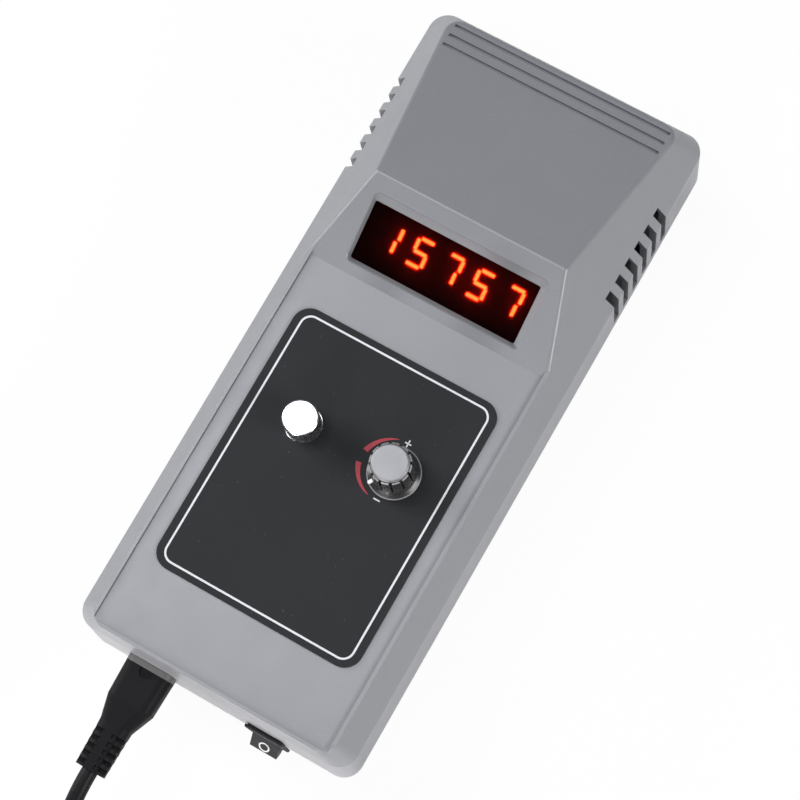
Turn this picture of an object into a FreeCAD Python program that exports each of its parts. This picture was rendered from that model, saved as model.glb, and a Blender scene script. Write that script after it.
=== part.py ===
import FreeCAD, Part
import math
import os
import Sketcher
import PartDesign

# Hand-held xenon stroboscope, lying on its back.
# X runs to the right across the panel, Y along the case towards the lamp, Z up from the surface it lies on.
# The origin is the middle of the case's flat back. Lengths are in millimetres.

os.makedirs("parts", exist_ok=True)
doc = FreeCAD.newDocument("stroboscope")
X, Y, Z = FreeCAD.Vector(1, 0, 0), FreeCAD.Vector(0, 1, 0), FreeCAD.Vector(0, 0, 1)

# Driving dimensions
SIZES = {
    # Case
    "case_width": 90.0,
    "case_length": 211.0,
    "corner_radius": 6.0,
    "wall": 2.4,
    "back_depth": 20.0,        # height of the parting line above the surface
    "back_taper": 7.0,         # how far each side of the back half leans in
    "back_end_taper": 1.2,
    "back_edge_radius": 2.5,
    "band_height": 20.5,       # upright band of the upper half
    "end_draft": 1.2,          # lean of the lower end's band
    "side_lean": 0.65,         # run over rise of the sloped side faces
    "lower_end_lean": 0.145,
    "head_end_lean": 0.35,
    "top_corner_radius": 2.0,
    "panel_rise": 8.0,         # panel above the crease
    "recess_depth": 0.8,
    "rim_width": 1.0,
    "display_foot": 125.0,     # from the lower end to the foot of the display face
    "ridge_distance": 152.5,
    "ridge_rise": 21.7,
    "far_edge_rise": 10.8,
    "ridge_radius": 1.5,
    "bead_diameter": 1.8,      # raised round-ended bar just below the ridge
    "bead_length": 60.0,
    "bead_distance": 151.8,    # from the lower end
    "bead_height": 0.9,        # axis below the ridge
    "rim_radius": 0.35,
    # Vents
    "vent_width": 2.85,
    "vent_pitch": 5.66,
    "vent_first": 156.1,       # middle of the first slot from the lower end
    "vent_low": 3.8,           # lower tip above the parting line
    "vent_high": 24.9,
    "vent_count": 6,
    # Cross bars at the far edge
    "bar_width": 2.5,
    "bar_groove": 1.0,
    "bar_depth": 0.6,
    "bar_edge_gap": 2.0,
    "bar_side_gap": 2.4,
    # Display
    "window_width": 57.4,
    "window_length": 22.3,
    "window_radius": 2.0,
    "window_flare": 0.35,      # small bevel round the outer edge
    "window_up": 14.4,         # middle of the window up the slope from its foot
    "pane_width": 54.0,        # inner end of the window's sloped walls
    "pane_length": 18.4,
    "pane_radius": 0.6,
    "pane_shift": 0.8,         # of the inner end, to the left
    "pane_drop": 1.0,          # of the inner end, down the slope
    "filter_overlap": 1.0,
    "filter_thickness": 1.5,
    "digit_pitch": 9.9,
    "digit_width": 7.6,
    "digit_length": 13.0,
    "digit_depth": 6.0,
    "digit_height": 9.2,
    "digit_stroke": 4.6,       # width between the middles of the upright bars
    "bar_thickness": 0.95,
    "glow_thickness": 0.2,
    "digit_gap": 0.3,          # air between the filter and the glowing bars
    "digit_slant": 0.17,
    "display_board_thickness": 1.6,
    "display_board_width": 69.0,
    "display_board_length": 19.0,
    # Panel plate
    "label_width": 66.4,
    "label_length": 85.8,
    "label_low": 25.6,         # from the lower end to the plate
    "label_thickness": 0.5,
    "label_radius": 5.5,
    "label_shift": 0.2,
    # Push button
    "control_row": 80.5,       # from the lower end to the button and the knob
    "button_offset": 14.6,
    "button_diameter": 10.6,
    "button_height": 7.5,
    "button_travel": 2.0,
    "button_clearance": 0.3,
    "button_flange": 1.0,
    "button_flange_thickness": 0.8,
    "stem_diameter": 4.0,
    "stem_clearance": 0.05,
    "switch_side": 12.0,
    "stop_gap": 0.1,
    # Knob
    "knob_offset": 15.4,
    "skirt_diameter": 15.7,
    "knob_height": 15.0,
    "knob_gap": 0.5,
    "skirt_edge": 0.7,
    "skirt_rise": 1.5,
    "grip_low_radius": 6.5,
    "grip_top_radius": 6.05,
    "grip_chamfer": 0.4,
    "grip_slots": 12,
    "grip_slot_width": 0.6,
    "grip_slot_depth": 0.7,
    "cap_diameter": 11.0,
    "cap_thickness": 1.0,
    "pointer_length": 1.7,
    "pointer_width": 1.0,
    "pointer_thickness": 0.6,
    "pointer_bearing": 230.0,
    "shaft_diameter": 6.0,
    "shaft_clearance": 0.05,
    "bush_diameter": 7.0,
    "nut_across": 10.0,
    "nut_thickness": 2.0,
    "nut_room": 0.5,
    "pot_diameter": 16.5,
    "pot_depth": 8.8,
    # Control board under the panel
    "control_board_width": 60.0,
    "control_board_length": 22.0,
    "board_thickness": 1.6,
    "control_post_offset": 27.0,
    "post_diameter": 5.0,
    "screw_diameter": 2.6,
    "board_hole_clearance": 0.2,
    "screw_head_diameter": 5.0,
    "screw_head_height": 1.8,
    "screw_bite": 6.0,
    # Rocker switch in the lower end
    "rocker_offset": 16.7,
    "rocker_level": 18.5,
    "bezel_width": 12.4,
    "bezel_length": 19.4,
    "bezel_thickness": 1.0,
    "bezel_radius": 1.2,
    "barrel_width": 10.8,
    "barrel_length": 17.8,
    "barrel_depth": 14.0,
    "panel_fit": 0.1,
    "rocker_width": 9.0,
    "rocker_side_gap": 0.2,
    "rocker_radius": 8.05,
    "rocker_end_gap": 0.2,
    "rocker_stand": 1.0,       # middle of the rocker's front before the wall
    "rocker_slope": 0.265,
    "rocker_back": 4.5,
    "rocker_pivot_depth": 1.5,
    "rocker_swing": 15.0,
    "pin_diameter": 2.5,
    "pin_clearance": 0.05,
    "rocker_well": 8.5,
    "tab_width": 4.8,
    "tab_thickness": 0.8,
    "tab_length": 8.0,
    "tab_spacing": 7.0,
    # Mains inlet and its connector
    "inlet_offset": -20.3,
    "inlet_level": 30.4,
    "inlet_width": 15.0,
    "inlet_height": 9.5,
    "inlet_stand": 1.0,
    "inlet_depth": 15.0,
    "socket_wall": 1.1,
    "socket_depth": 9.5,
    "nose_clearance": 0.15,
    "nose_length": 8.5,
    "contact_diameter": 2.4,
    "contact_spacing": 7.0,
    "contact_length": 7.0,
    "connector_height": 9.3,
    "connector_shoulder": 11.0,   # from the connector's front face
    "connector_shoulder_width": 14.4,
    "connector_waist": 18.0,
    "connector_waist_width": 10.0,
    "connector_body_length": 20.0,
    "neck_shift": -0.5,
    "neck_width": 9.8,
    "neck_height": 8.2,
    "dimple_diameter": 4.0,
    "dimple_depth": 0.7,
    "dimple_back": 0.9,
    "relief_length": 12.5,
    "relief_end_width": 9.3,
    "relief_end_height": 7.6,
    "relief_radius": 3.2,
    "relief_slots": 5,
    "relief_slot_width": 1.3,
    "relief_slot_pitch": 2.45,
    "relief_first_slot": 1.2,
    "relief_spine": 2.4,
    "relief_web": 1.6,
    "relief_sleeve_wall": 0.3,
    # Cord
    "cord_diameter": 5.0,
    "turn_pitch": 5.5,
    "inner_turn_radius": 19.0,
    "half_turns": 7,
    "plug_width": 24.0,
    "plug_length": 27.0,
    "plug_nose": 9.0,
    "plug_radius": 4.0,
    "plug_relief_length": 20.0,
    "plug_relief_diameter": 9.0,
    "plug_relief_end": 6.6,
    "blade_width": 6.3,
    "blade_thickness": 1.5,
    "blade_length": 17.0,
    "blade_spacing": 12.7,
    # Lamp
    "bezel_frame_width": 66.0,
    "bezel_frame_height": 35.0,
    "lamp_level": 22.5,
    "frame_thickness": 1.5,
    "frame_sink": 0.05,
    "frame_clearance": 0.1,
    "frame_radius": 4.0,
    "sleeve_width": 60.8,
    "sleeve_height": 29.8,
    "sleeve_radius": 2.0,
    "sleeve_wall": 1.4,
    "sleeve_depth": 6.5,
    "sleeve_clearance": 0.1,
    "window_plate": 2.0,
    "window_set_back": 0.7,
    "window_clearance": 0.05,
    "mirror_depth": 17.0,
    "mirror_round": 6.5,
    "mirror_thickness": 0.8,
    "mirror_clearance": 0.4,
    "tube_diameter": 6.0,
    "tube_length": 40.0,
    "tube_cap_clearance": 0.02,
    "tube_set_back": 10.5,
    "clip_width": 4.0,
    "clip_thickness": 1.0,
    # Case screws and pillars
    "pillar_diameter": 7.5,
    "pillar_offset": 32.5,
    "pillar_low": 14.0,        # from each end of the case to the pillars
    "pillar_high": 30.0,
    "case_screw_diameter": 3.0,
    "case_screw_clearance": 0.2,
    "case_head_diameter": 5.5,
    "case_head_depth": 3.0,
    "case_screw_bite": 8.0,
    "case_head_floor": 3.0,
    # Main board and what it carries
    "main_board_width": 62.0,
    "main_board_length": 128.0,
    "main_board_low": 26.0,    # from the lower end to the board
    "main_post_height": 5.0,
    "main_post_diameter": 6.0,
    "main_post_margin": 4.0,
    "transformer_width": 32.0,
    "transformer_length": 27.0,
    "transformer_height": 20.0,
    "transformer_core": 9.0,
    "transformer_offset": -8.0,
    "transformer_place": 26.0,    # from the board's lower end
    "bobbin_drop": 4.0,
    "core_set_in": 8.0,
    "capacitor_diameter": 18.0,
    "capacitor_length": 34.0,
    "capacitor_offset": -6.0,
    "capacitor_place": 30.0,      # from the board's far end
    "trigger_diameter": 9.0,
    "trigger_length": 14.0,
    "trigger_offset": 20.0,
    "trigger_place": 18.0,        # from the board's far end
    "chip_width": 7.0,
    "chip_length": 35.0,
    "chip_height": 3.5,
    "chip_offset": 16.0,
    "chip_place": 52.0,
    "fuse_diameter": 5.0,
    "fuse_length": 20.0,
    "fuse_clip_width": 5.0,
    "fuse_clip_wall": 0.8,
    "fuse_clip_fit": 0.01,
    "fuse_offset": 22.0,
    "fuse_place": 20.0,
}

sheet = doc.addObject("Spreadsheet::Sheet", "Sizes")
for row, (alias, number) in enumerate(SIZES.items(), start=1):
    sheet.set("A%d" % row, alias)
    sheet.set("B%d" % row, str(number))
    sheet.setAlias("B%d" % row, alias)
doc.recompute()


class Size:
    """A length with its number and the expression that ties it to the sheet."""

    def __init__(self, number, text):
        self.number = float(number)
        self.text = text

    def joined(self, sign, other, number):
        return Size(number, "(%s %s %s)" % (self.text, sign, text_of(other)))

    def __add__(self, other):
        return self.joined("+", other, self.number + number_of(other))

    def __sub__(self, other):
        return self.joined("-", other, self.number - number_of(other))

    def __mul__(self, other):
        return self.joined("*", other, self.number * number_of(other))

    def __truediv__(self, other):
        return self.joined("/", other, self.number / number_of(other))

    def __neg__(self):
        return self * -1

    def root(self):
        return Size(math.sqrt(self.number), "sqrt(%s)" % self.text)


def number_of(value):
    return value.number if isinstance(value, Size) else float(value)


def text_of(value):
    return value.text if isinstance(value, Size) else "(%s)" % repr(float(value))


def size(alias):
    return Size(sheet.get(alias), "Sizes.%s" % alias)


def fixed(value):
    return Size(value, "(%s)" % repr(float(value)))


ZERO = fixed(0)
NODES = []


def node(shape_object, name):
    """Names an object as one sub-part of the finished model."""
    shape_object.Label = name
    NODES.append(shape_object)
    return shape_object


def bind(target, prop, value):
    if isinstance(value, Size):
        target.setExpression(prop, value.text)
    else:
        setattr(target, prop, value)


def place(target, position, rotation=None):
    """Puts an object at a point given by three sizes, turned by a fixed rotation."""
    base = FreeCAD.Vector(*[number_of(value) for value in position])
    target.Placement = FreeCAD.Placement(base, rotation or FreeCAD.Rotation())
    for axis, value in zip("xyz", position):
        if isinstance(value, Size):
            target.setExpression("Placement.Base.%s" % axis, value.text)
    return target


# Plain solids and booleans

def block(name, low, high):
    """A box between two corners."""
    shape = doc.addObject("Part::Box", name)
    for prop, start, end in zip(("Length", "Width", "Height"), low, high):
        bind(shape, prop, end - start)
    return place(shape, low)


def centred_block(name, middle, spans):
    low = [m - s / 2 for m, s in zip(middle, spans)]
    high = [m + s / 2 for m, s in zip(middle, spans)]
    return block(name, low, high)


UPRIGHT = FreeCAD.Rotation()
ALONG_X = FreeCAD.Rotation(Y, 90)
ALONG_Y = FreeCAD.Rotation(X, -90)


def rod(name, diameter, length, position, rotation=UPRIGHT):
    shape = doc.addObject("Part::Cylinder", name)
    bind(shape, "Radius", diameter / 2)
    bind(shape, "Height", length)
    return place(shape, position, rotation)


def ball(name, diameter, middle):
    shape = doc.addObject("Part::Sphere", name)
    bind(shape, "Radius", diameter / 2)
    return place(shape, middle)


def cut(name, base, tools):
    shape = doc.addObject("Part::Cut", name)
    shape.Base = base
    shape.Tool = tools[0] if len(tools) == 1 else fuse(name + "_tools", tools)
    shape.Refine = True
    return shape


def fuse(name, shapes):
    shape = doc.addObject("Part::MultiFuse", name)
    shape.Shapes = shapes
    shape.Refine = True
    return shape


def common(name, shapes):
    shape = doc.addObject("Part::MultiCommon", name)
    shape.Shapes = shapes
    return shape


def group(name, shapes):
    """Several separate solids that share one node."""
    shape = doc.addObject("Part::Compound", name)
    shape.Links = shapes
    return shape


# Bodies and their sketches

def new_body(name):
    return doc.addObject("PartDesign::Body", name)


def sketch_on(body, name, role, offset=ZERO):
    """A sketch on one of the body's own origin planes, moved along the plane's normal."""
    sketch = body.newObject("Sketcher::SketchObject", name)
    plane = [feature for feature in body.Origin.OriginFeatures if feature.Role == role][0]
    sketch.AttachmentSupport = [(plane, "")]
    sketch.MapMode = "FlatFace"
    sketch.AttachmentOffset = FreeCAD.Placement(FreeCAD.Vector(0, 0, offset.number), FreeCAD.Rotation())
    if offset is not ZERO:
        sketch.setExpression("AttachmentOffset.Base.z", offset.text)
    return sketch


def hold(sketch, geometry, point, x, y):
    """Fixes one point of a sketch at a place given by two sizes."""
    for kind, value in (("DistanceX", x), ("DistanceY", y)):
        index = sketch.addConstraint(Sketcher.Constraint(kind, -1, 1, geometry, point, value.number))
        sketch.setExpression("Constraints[%d]" % index, value.text)


def polygon(sketch, points):
    """A closed outline of straight lines through the given corners."""
    vectors = [FreeCAD.Vector(x.number, y.number, 0) for x, y in points]
    first = sketch.GeometryCount
    for here, there in zip(vectors, vectors[1:] + vectors[:1]):
        sketch.addGeometry(Part.LineSegment(here, there), False)
    count = len(points)
    for step in range(count):
        sketch.addConstraint(
            Sketcher.Constraint("Coincident", first + step, 2, first + (step + 1) % count, 1))
    for step, (x, y) in enumerate(points):
        hold(sketch, first + step, 1, x, y)
    return sketch


def rounded_rectangle(sketch, left, right, low, high, radius):
    """A closed rectangle with four equal round corners."""
    corners = [
        (right - radius, high - radius, right, high - radius, right - radius, high, 0.0),
        (left + radius, high - radius, left + radius, high, left, high - radius, 0.5),
        (left + radius, low + radius, left, low + radius, left + radius, low, 1.0),
        (right - radius, low + radius, right - radius, low, right, low + radius, 1.5),
    ]
    first = sketch.GeometryCount
    for cx, cy, sx, sy, ex, ey, turn in corners:
        circle = Part.Circle(FreeCAD.Vector(cx.number, cy.number, 0), Z, radius.number)
        sketch.addGeometry(Part.ArcOfCircle(circle, turn * math.pi, (turn + 0.5) * math.pi), False)
    for step in range(4):
        end, start = corners[step], corners[(step + 1) % 4]
        sketch.addGeometry(
            Part.LineSegment(FreeCAD.Vector(end[4].number, end[5].number, 0),
                             FreeCAD.Vector(start[2].number, start[3].number, 0)), False)
        line = first + 4 + step
        sketch.addConstraint(Sketcher.Constraint("Coincident", first + step, 2, line, 1))
        sketch.addConstraint(Sketcher.Constraint("Coincident", line, 2, first + (step + 1) % 4, 1))
        hold(sketch, line, 1, end[4], end[5])
        hold(sketch, line, 2, start[2], start[3])
    for step in range(4):
        index = sketch.addConstraint(Sketcher.Constraint("Radius", first + step, radius.number))
        sketch.setExpression("Constraints[%d]" % index, radius.text)
    return sketch


def circle(sketch, x, y, diameter):
    middle = FreeCAD.Vector(x.number, y.number, 0)
    index = sketch.addGeometry(Part.Circle(middle, Z, diameter.number / 2), False)
    hold(sketch, index, 3, x, y)
    constraint = sketch.addConstraint(Sketcher.Constraint("Diameter", index, diameter.number))
    sketch.setExpression("Constraints[%d]" % constraint, diameter.text)
    return sketch


def pad(body, name, sketch, length, symmetric=False, reverse=False):
    feature = body.newObject("PartDesign::Pad", name)
    feature.Profile = sketch
    feature.SideType = "Symmetric" if symmetric else "One side"
    feature.Reversed = reverse
    bind(feature, "Length", length)
    return feature


def pocket(body, name, sketch, length, symmetric=False, reverse=False):
    feature = body.newObject("PartDesign::Pocket", name)
    feature.Profile = sketch
    feature.SideType = "Symmetric" if symmetric else "One side"
    feature.Reversed = reverse
    bind(feature, "Length", length)
    return feature


def ruled_loft(body, name, sketches):
    feature = body.newObject("PartDesign::AdditiveLoft", name)
    feature.Profile = sketches[0]
    feature.Sections = sketches[1:]
    feature.Ruled = True
    return feature


def revolve(body, name, sketch, role="Z_Axis"):
    feature = body.newObject("PartDesign::Revolution", name)
    feature.Profile = sketch
    axis = [item for item in body.Origin.OriginFeatures if item.Role == role][0]
    feature.ReferenceAxis = (axis, [""])
    feature.Angle = 360
    return feature


def polar_pattern(body, name, feature, count, role="Z_Axis"):
    pattern = body.newObject("PartDesign::PolarPattern", name)
    pattern.Originals = [feature]
    axis = [item for item in body.Origin.OriginFeatures if item.Role == role][0]
    pattern.Axis = (axis, [""])
    pattern.Angle = 360
    bind(pattern, "Occurrences", count)
    body.Tip = pattern
    return pattern


def edges_where(shape, test):
    return ["Edge%d" % (index + 1) for index, edge in enumerate(shape.Edges) if test(edge)]


def fillet(body, name, base, radius, test):
    doc.recompute()
    feature = body.newObject("PartDesign::Fillet", name)
    feature.Base = (base, edges_where(base.Shape, test))
    bind(feature, "Radius", radius)
    return feature


def rounded(name, base, choices):
    """A copy of a solid with chosen edges rounded: pairs of a radius and a test for its edges."""
    refined = doc.addObject("Part::Refine", name + "_refined")
    refined.Source = base
    doc.recompute()
    shape = doc.addObject("Part::Fillet", name)
    shape.Base = refined
    edges = []
    for radius, test in choices:
        for index, edge in enumerate(refined.Shape.Edges, start=1):
            if test(edge):
                edges.append((index, radius.number, radius.number))
    shape.Edges = edges
    return shape


# Levels and distances that several pieces share

half_width = size("case_width") / 2
low_end = size("case_length") / -2
far_end = size("case_length") / 2
wall = size("wall")
parting = size("back_depth")
crease = parting + size("band_height")
panel = crease + size("panel_rise")
rim_top = panel + size("recess_depth")
ridge = crease + size("ridge_rise")
ridge_y = low_end + size("ridge_distance")
foot_y = low_end + size("display_foot")
far_edge = crease + size("far_edge_rise")
far_edge_y = far_end - size("far_edge_rise") * size("head_end_lean")
panel_inside = panel - wall
label_top = panel + size("label_thickness")


def side_at(rise):
    """Half width of the sloped sides at a rise above the crease."""
    return half_width - rise * size("side_lean")


# Case forms

def upper_form(name, inset):
    """The upper half as a full solid, drawn in by inset all round and lowered by it on top."""
    body = new_body(name)
    sections = (
        (ZERO, size("corner_radius"), ZERO, ZERO, ZERO),
        (size("band_height"), size("corner_radius"), ZERO, size("end_draft"), ZERO),
        (size("band_height") + size("ridge_rise"), size("top_corner_radius") + wall,
         size("ridge_rise") * size("side_lean"),
         size("end_draft") + size("ridge_rise") * size("lower_end_lean"),
         size("ridge_rise") * size("head_end_lean")),
    )
    sketches = []
    for step, (rise, radius, side, low, far) in enumerate(sections):
        sketch = sketch_on(body, "%s_section_%d" % (name, step), "XY_Plane", parting + rise)
        rounded_rectangle(sketch, -half_width + inset + side, half_width - inset - side,
                          low_end + inset + low, far_end - inset - far, radius - inset)
        sketches.append(sketch)
    ruled_loft(body, name + "_loft", sketches)
    return body


def above(name, points, half_span):
    """A prism over an outline drawn in the YZ plane, as wide as twice half_span."""
    body = new_body(name)
    sketch = sketch_on(body, name + "_outline", "YZ_Plane")
    polygon(sketch, points)
    pad(body, name + "_pad", sketch, half_span * 2, symmetric=True)
    return body


sky = ridge + 20
margin = fixed(30)
top_slope = (ridge - far_edge) / (far_edge_y - ridge_y)
display_slope = (ridge - panel) / (ridge_y - foot_y)


def trimmed_top(name, form, drop, flat_level):
    """The upper form cut to the panel, the display face, the ridge and the head's long slope."""
    flat_end = foot_y + (flat_level - panel) / display_slope
    beyond = far_end + margin
    outline = (
        (low_end - margin, flat_level - drop),
        (flat_end, flat_level - drop),
        (ridge_y, ridge - drop),
        (beyond, ridge - (beyond - ridge_y) * top_slope - drop),
        (beyond, sky),
        (low_end - margin, sky),
    )
    return cut(name, form, [above(name + "_air", outline, half_width + margin)])


upper_outer = upper_form("upper_outer", ZERO)
upper_sharp = trimmed_top("upper_sharp", upper_outer, ZERO, rim_top)


def on_ridge(edge):
    return edge.BoundBox.ZMin > ridge.number - 0.1


def on_head_sides(edge):
    box = edge.BoundBox
    return box.ZMin > rim_top.number - 0.1 and box.ZLength > 5


def on_far_edge(edge):
    box = edge.BoundBox
    return box.YMin > far_edge_y.number - 0.1 and box.ZMin > far_edge.number - 0.1


def on_rim(edge):
    box = edge.BoundBox
    level = box.ZLength < 0.01 and abs(box.ZMin - rim_top.number) < 0.01
    return level and box.YMin < foot_y.number


upper_smooth = rounded("upper_smooth", upper_sharp, [
    (size("ridge_radius"), on_ridge),
    (size("ridge_radius"), on_head_sides),
    (size("ridge_radius"), on_far_edge),
    (size("rim_radius"), on_rim),
])
bead_y = low_end + size("bead_distance")
bead_z = ridge - size("bead_height")
bead_half = (size("bead_length") - size("bead_diameter")) / 2
bead = [rod("bead_bar", size("bead_diameter"), bead_half * 2, (-bead_half, bead_y, bead_z), ALONG_X)]
for side in (-1, 1):
    bead.append(ball("bead_end_%d" % side, size("bead_diameter"), (bead_half * side, bead_y, bead_z)))
upper_solid = fuse("upper_solid", [upper_smooth] + bead)
upper_hollow = trimmed_top("upper_hollow", upper_form("upper_inner", wall), wall, panel)

# The recess of the panel, inside a thin rim on three sides
rim_outer = side_at(size("panel_rise") + size("recess_depth"))
recess_half = rim_outer - size("rim_width")
recess_low = (low_end + size("end_draft") + size("rim_width")
              + (size("panel_rise") + size("recess_depth")) * size("lower_end_lean"))
recess = above(
    "panel_recess",
    ((recess_low, panel), (foot_y, panel), (ridge_y, ridge), (recess_low, ridge)),
    recess_half,
)


def back_form(name, inset):
    """The back half as a full solid, drawn in by inset all round and raised by it below."""
    body = new_body(name)
    lower = sketch_on(body, name + "_low", "XY_Plane", inset)
    taper = size("back_taper") * (parting - inset) / parting
    end_taper = size("back_end_taper") * (parting - inset) / parting
    rounded_rectangle(lower, -half_width + inset + taper, half_width - inset - taper,
                      low_end + inset + end_taper, far_end - inset, size("corner_radius") - inset)
    upper = sketch_on(body, name + "_high", "XY_Plane", parting)
    rounded_rectangle(upper, -half_width + inset, half_width - inset, low_end + inset,
                      far_end - inset, size("corner_radius") - inset)
    return body, ruled_loft(body, name + "_loft", [lower, upper])


back_blank, back_loft = back_form("back_outer", ZERO)
back_outer = rounded("back_rounded", back_blank, [
    (size("back_edge_radius"), lambda edge: edge.BoundBox.ZMax < 0.01)])
back_inner, back_inner_loft = back_form("back_inner", wall)

# Screw pillars in both halves

pillar_places = []
for side in (-1, 1):
    for row in (low_end + size("pillar_low"), far_end - size("pillar_high")):
        pillar_places.append((size("pillar_offset") * side, row))

pillar_tops = [rod("pillar_top_%d" % i, size("pillar_diameter"), sky - parting, (x, y, parting))
               for i, (x, y) in enumerate(pillar_places)]
pillar_feet = [rod("pillar_foot_%d" % i, size("pillar_diameter"), parting - 1, (x, y, fixed(1)))
               for i, (x, y) in enumerate(pillar_places)]
head_floor = size("case_head_floor")
head_top = head_floor + size("case_head_depth")
screw_tip = parting + size("case_screw_bite")
case_screws = []
screw_ways = []
pilot_holes = []
for i, (x, y) in enumerate(pillar_places):
    head = rod("case_head_%d" % i, size("case_head_diameter"), size("case_head_depth"),
               (x, y, head_floor))
    shank = rod("case_shank_%d" % i, size("case_screw_diameter"), screw_tip - head_top, (x, y, head_top))
    case_screws.append(fuse("case_screw_%d" % i, [head, shank]))
    well = rod("head_well_%d" % i, size("case_head_diameter") + size("case_screw_clearance") * 2,
               head_top + margin, (x, y, -margin))
    way = rod("screw_way_%d" % i, size("case_screw_diameter") + size("case_screw_clearance") * 2,
              parting + margin, (x, y, -margin))
    screw_ways += [well, way]
    pilot_holes.append(rod("pilot_%d" % i, size("case_screw_diameter"),
                           screw_tip - parting + margin + 0.5, (x, y, parting - margin)))

# Vent slots, bent over the crease on both sides

vents = []
for i in range(int(SIZES["vent_count"])):
    middle = low_end + size("vent_first") + size("vent_pitch") * i
    low = parting + size("vent_low")
    high = parting + size("vent_high")
    vents.append(centred_block(
        "vent_%d" % i, (ZERO, middle, (low + high) / 2),
        (size("case_width") + margin, size("vent_width"), high - low)))
vent_core = block("vent_core", (-side_at(size("band_height")), low_end, parting),
                  (side_at(size("band_height")), far_end, sky))
vent_tool = cut("vent_tool", fuse("vent_slots", vents), [vent_core])

# Cross bars near the far edge: shallow grooves across the head's long slope

top_angle = math.degrees(math.atan(top_slope.number))
display_angle = math.degrees(math.atan(display_slope.number))
bar_grooves = []
bar_half = side_at(size("far_edge_rise")) - size("bar_side_gap")
for i in range(3):
    down_slope = size("bar_edge_gap") + (size("bar_width") + size("bar_groove")) * i
    y = far_edge_y - down_slope
    z = far_edge + down_slope * top_slope - size("bar_depth")
    groove = doc.addObject("Part::Box", "bar_groove_%d" % i)
    bind(groove, "Length", bar_half * 2)
    bind(groove, "Width", size("bar_groove"))
    bind(groove, "Height", size("bar_depth") + 5)
    place(groove, (-bar_half, y - size("bar_groove"), z), FreeCAD.Rotation(X, -top_angle))
    bar_grooves.append(groove)

# Display window: a hole with sloped walls, square to the display face

tilt = FreeCAD.Rotation(X, display_angle)
slope_length = ((ridge_y - foot_y) * (ridge_y - foot_y) + (ridge - panel) * (ridge - panel)).root()
run = (ridge_y - foot_y) / slope_length
rise = (ridge - panel) / slope_length


def on_display(across, up, depth):
    """A point of the display face: across from the middle, up the slope from its foot, and deep."""
    return (across, foot_y + up * run + depth * rise, panel + up * rise - depth * run)


skin = wall * run
window_half = size("window_width") / 2
window_long = size("window_length") / 2
pane_half = size("pane_width") / 2
pane_long = size("pane_length") / 2
pane_up = size("window_up") - size("pane_drop")
opening = new_body("window_opening")
window_sketches = []
for step, (depth, draw_in) in enumerate((
        (fixed(0.5), ZERO), (ZERO, ZERO), (-size("window_flare"), size("window_flare")))):
    sketch = sketch_on(opening, "window_section_%d" % step, "XY_Plane", depth)
    rounded_rectangle(sketch, -window_half + draw_in, window_half - draw_in,
                      -window_long + draw_in, window_long - draw_in,
                      size("window_radius") - draw_in)
    window_sketches.append(sketch)
sketch = sketch_on(opening, "pane_section", "XY_Plane", -skin)
rounded_rectangle(sketch, -pane_half - size("pane_shift"), pane_half - size("pane_shift"),
                  -pane_long - size("pane_drop"), pane_long - size("pane_drop"), size("pane_radius"))
window_sketches.append(sketch)
ruled_loft(opening, "window_loft", window_sketches)
place(opening, on_display(ZERO, size("window_up"), ZERO), tilt)


def display_block(name, across, up, depth, spans):
    """A box lying square to the display face: middle across and up, top face at depth."""
    shape = doc.addObject("Part::Box", name)
    for prop, span in zip(("Length", "Width", "Height"), spans):
        bind(shape, prop, span)
    corner = on_display(across - spans[0] / 2, up - spans[1] / 2, depth + spans[2])
    return place(shape, corner, tilt)


filter_width = size("pane_width") + size("filter_overlap") * 2
filter_length = size("pane_length") + size("filter_overlap") * 2
node(display_block("display_filter", -size("pane_shift"), pane_up, skin,
                   (filter_width, filter_length, size("filter_thickness"))), "display_filter")

# Digits: five modules on a board, each with its lit bars

glow_depth = skin + size("filter_thickness") + size("digit_gap")
module_depth = glow_depth + size("glow_thickness")
half_high = size("digit_height") / 2
half_wide = size("digit_stroke") / 2
SEGMENTS = {
    "top": (0, 1), "middle": (0, 0), "bottom": (0, -1),
    "upper_left": (-1, 0.5), "upper_right": (1, 0.5),
    "lower_left": (-1, -0.5), "lower_right": (1, -0.5),
}
LIT = {
    1: ("upper_right", "lower_right"),
    5: ("top", "upper_left", "middle", "lower_right", "bottom"),
    7: ("top", "upper_right", "lower_right"),
}
bars = []
for i, figure in enumerate((1, 5, 7, 5, 7)):
    across = size("digit_pitch") * (i - 2)
    module = display_block("digit_module_%d" % (i + 1), across, size("window_up"), module_depth,
                           (size("digit_width"), size("digit_length"), size("digit_depth")))
    node(module, "digit_module_%d" % (i + 1))
    for name in LIT[figure]:
        side, level = SEGMENTS[name]
        up = (half_high - size("bar_thickness") / 2) * level
        lean = up * size("digit_slant")
        if side == 0:
            spans = (size("digit_stroke") - size("bar_thickness") * 0.7, size("bar_thickness"),
                     size("glow_thickness"))
        else:
            spans = (size("bar_thickness"), half_high - size("bar_thickness") * 1.35,
                     size("glow_thickness"))
        bars.append(display_block("bar_%d_%s" % (i + 1, name), across + half_wide * side + lean,
                                  size("window_up") + up, glow_depth, spans))
node(group("lit_segments", bars), "lit_segments")

board_depth = module_depth + size("digit_depth")
board_hole = size("screw_diameter") + size("board_hole_clearance") * 2
display_plate = display_block("display_plate", ZERO, size("window_up"), board_depth,
                              (size("display_board_width"), size("display_board_length"),
                               size("display_board_thickness")))

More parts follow.
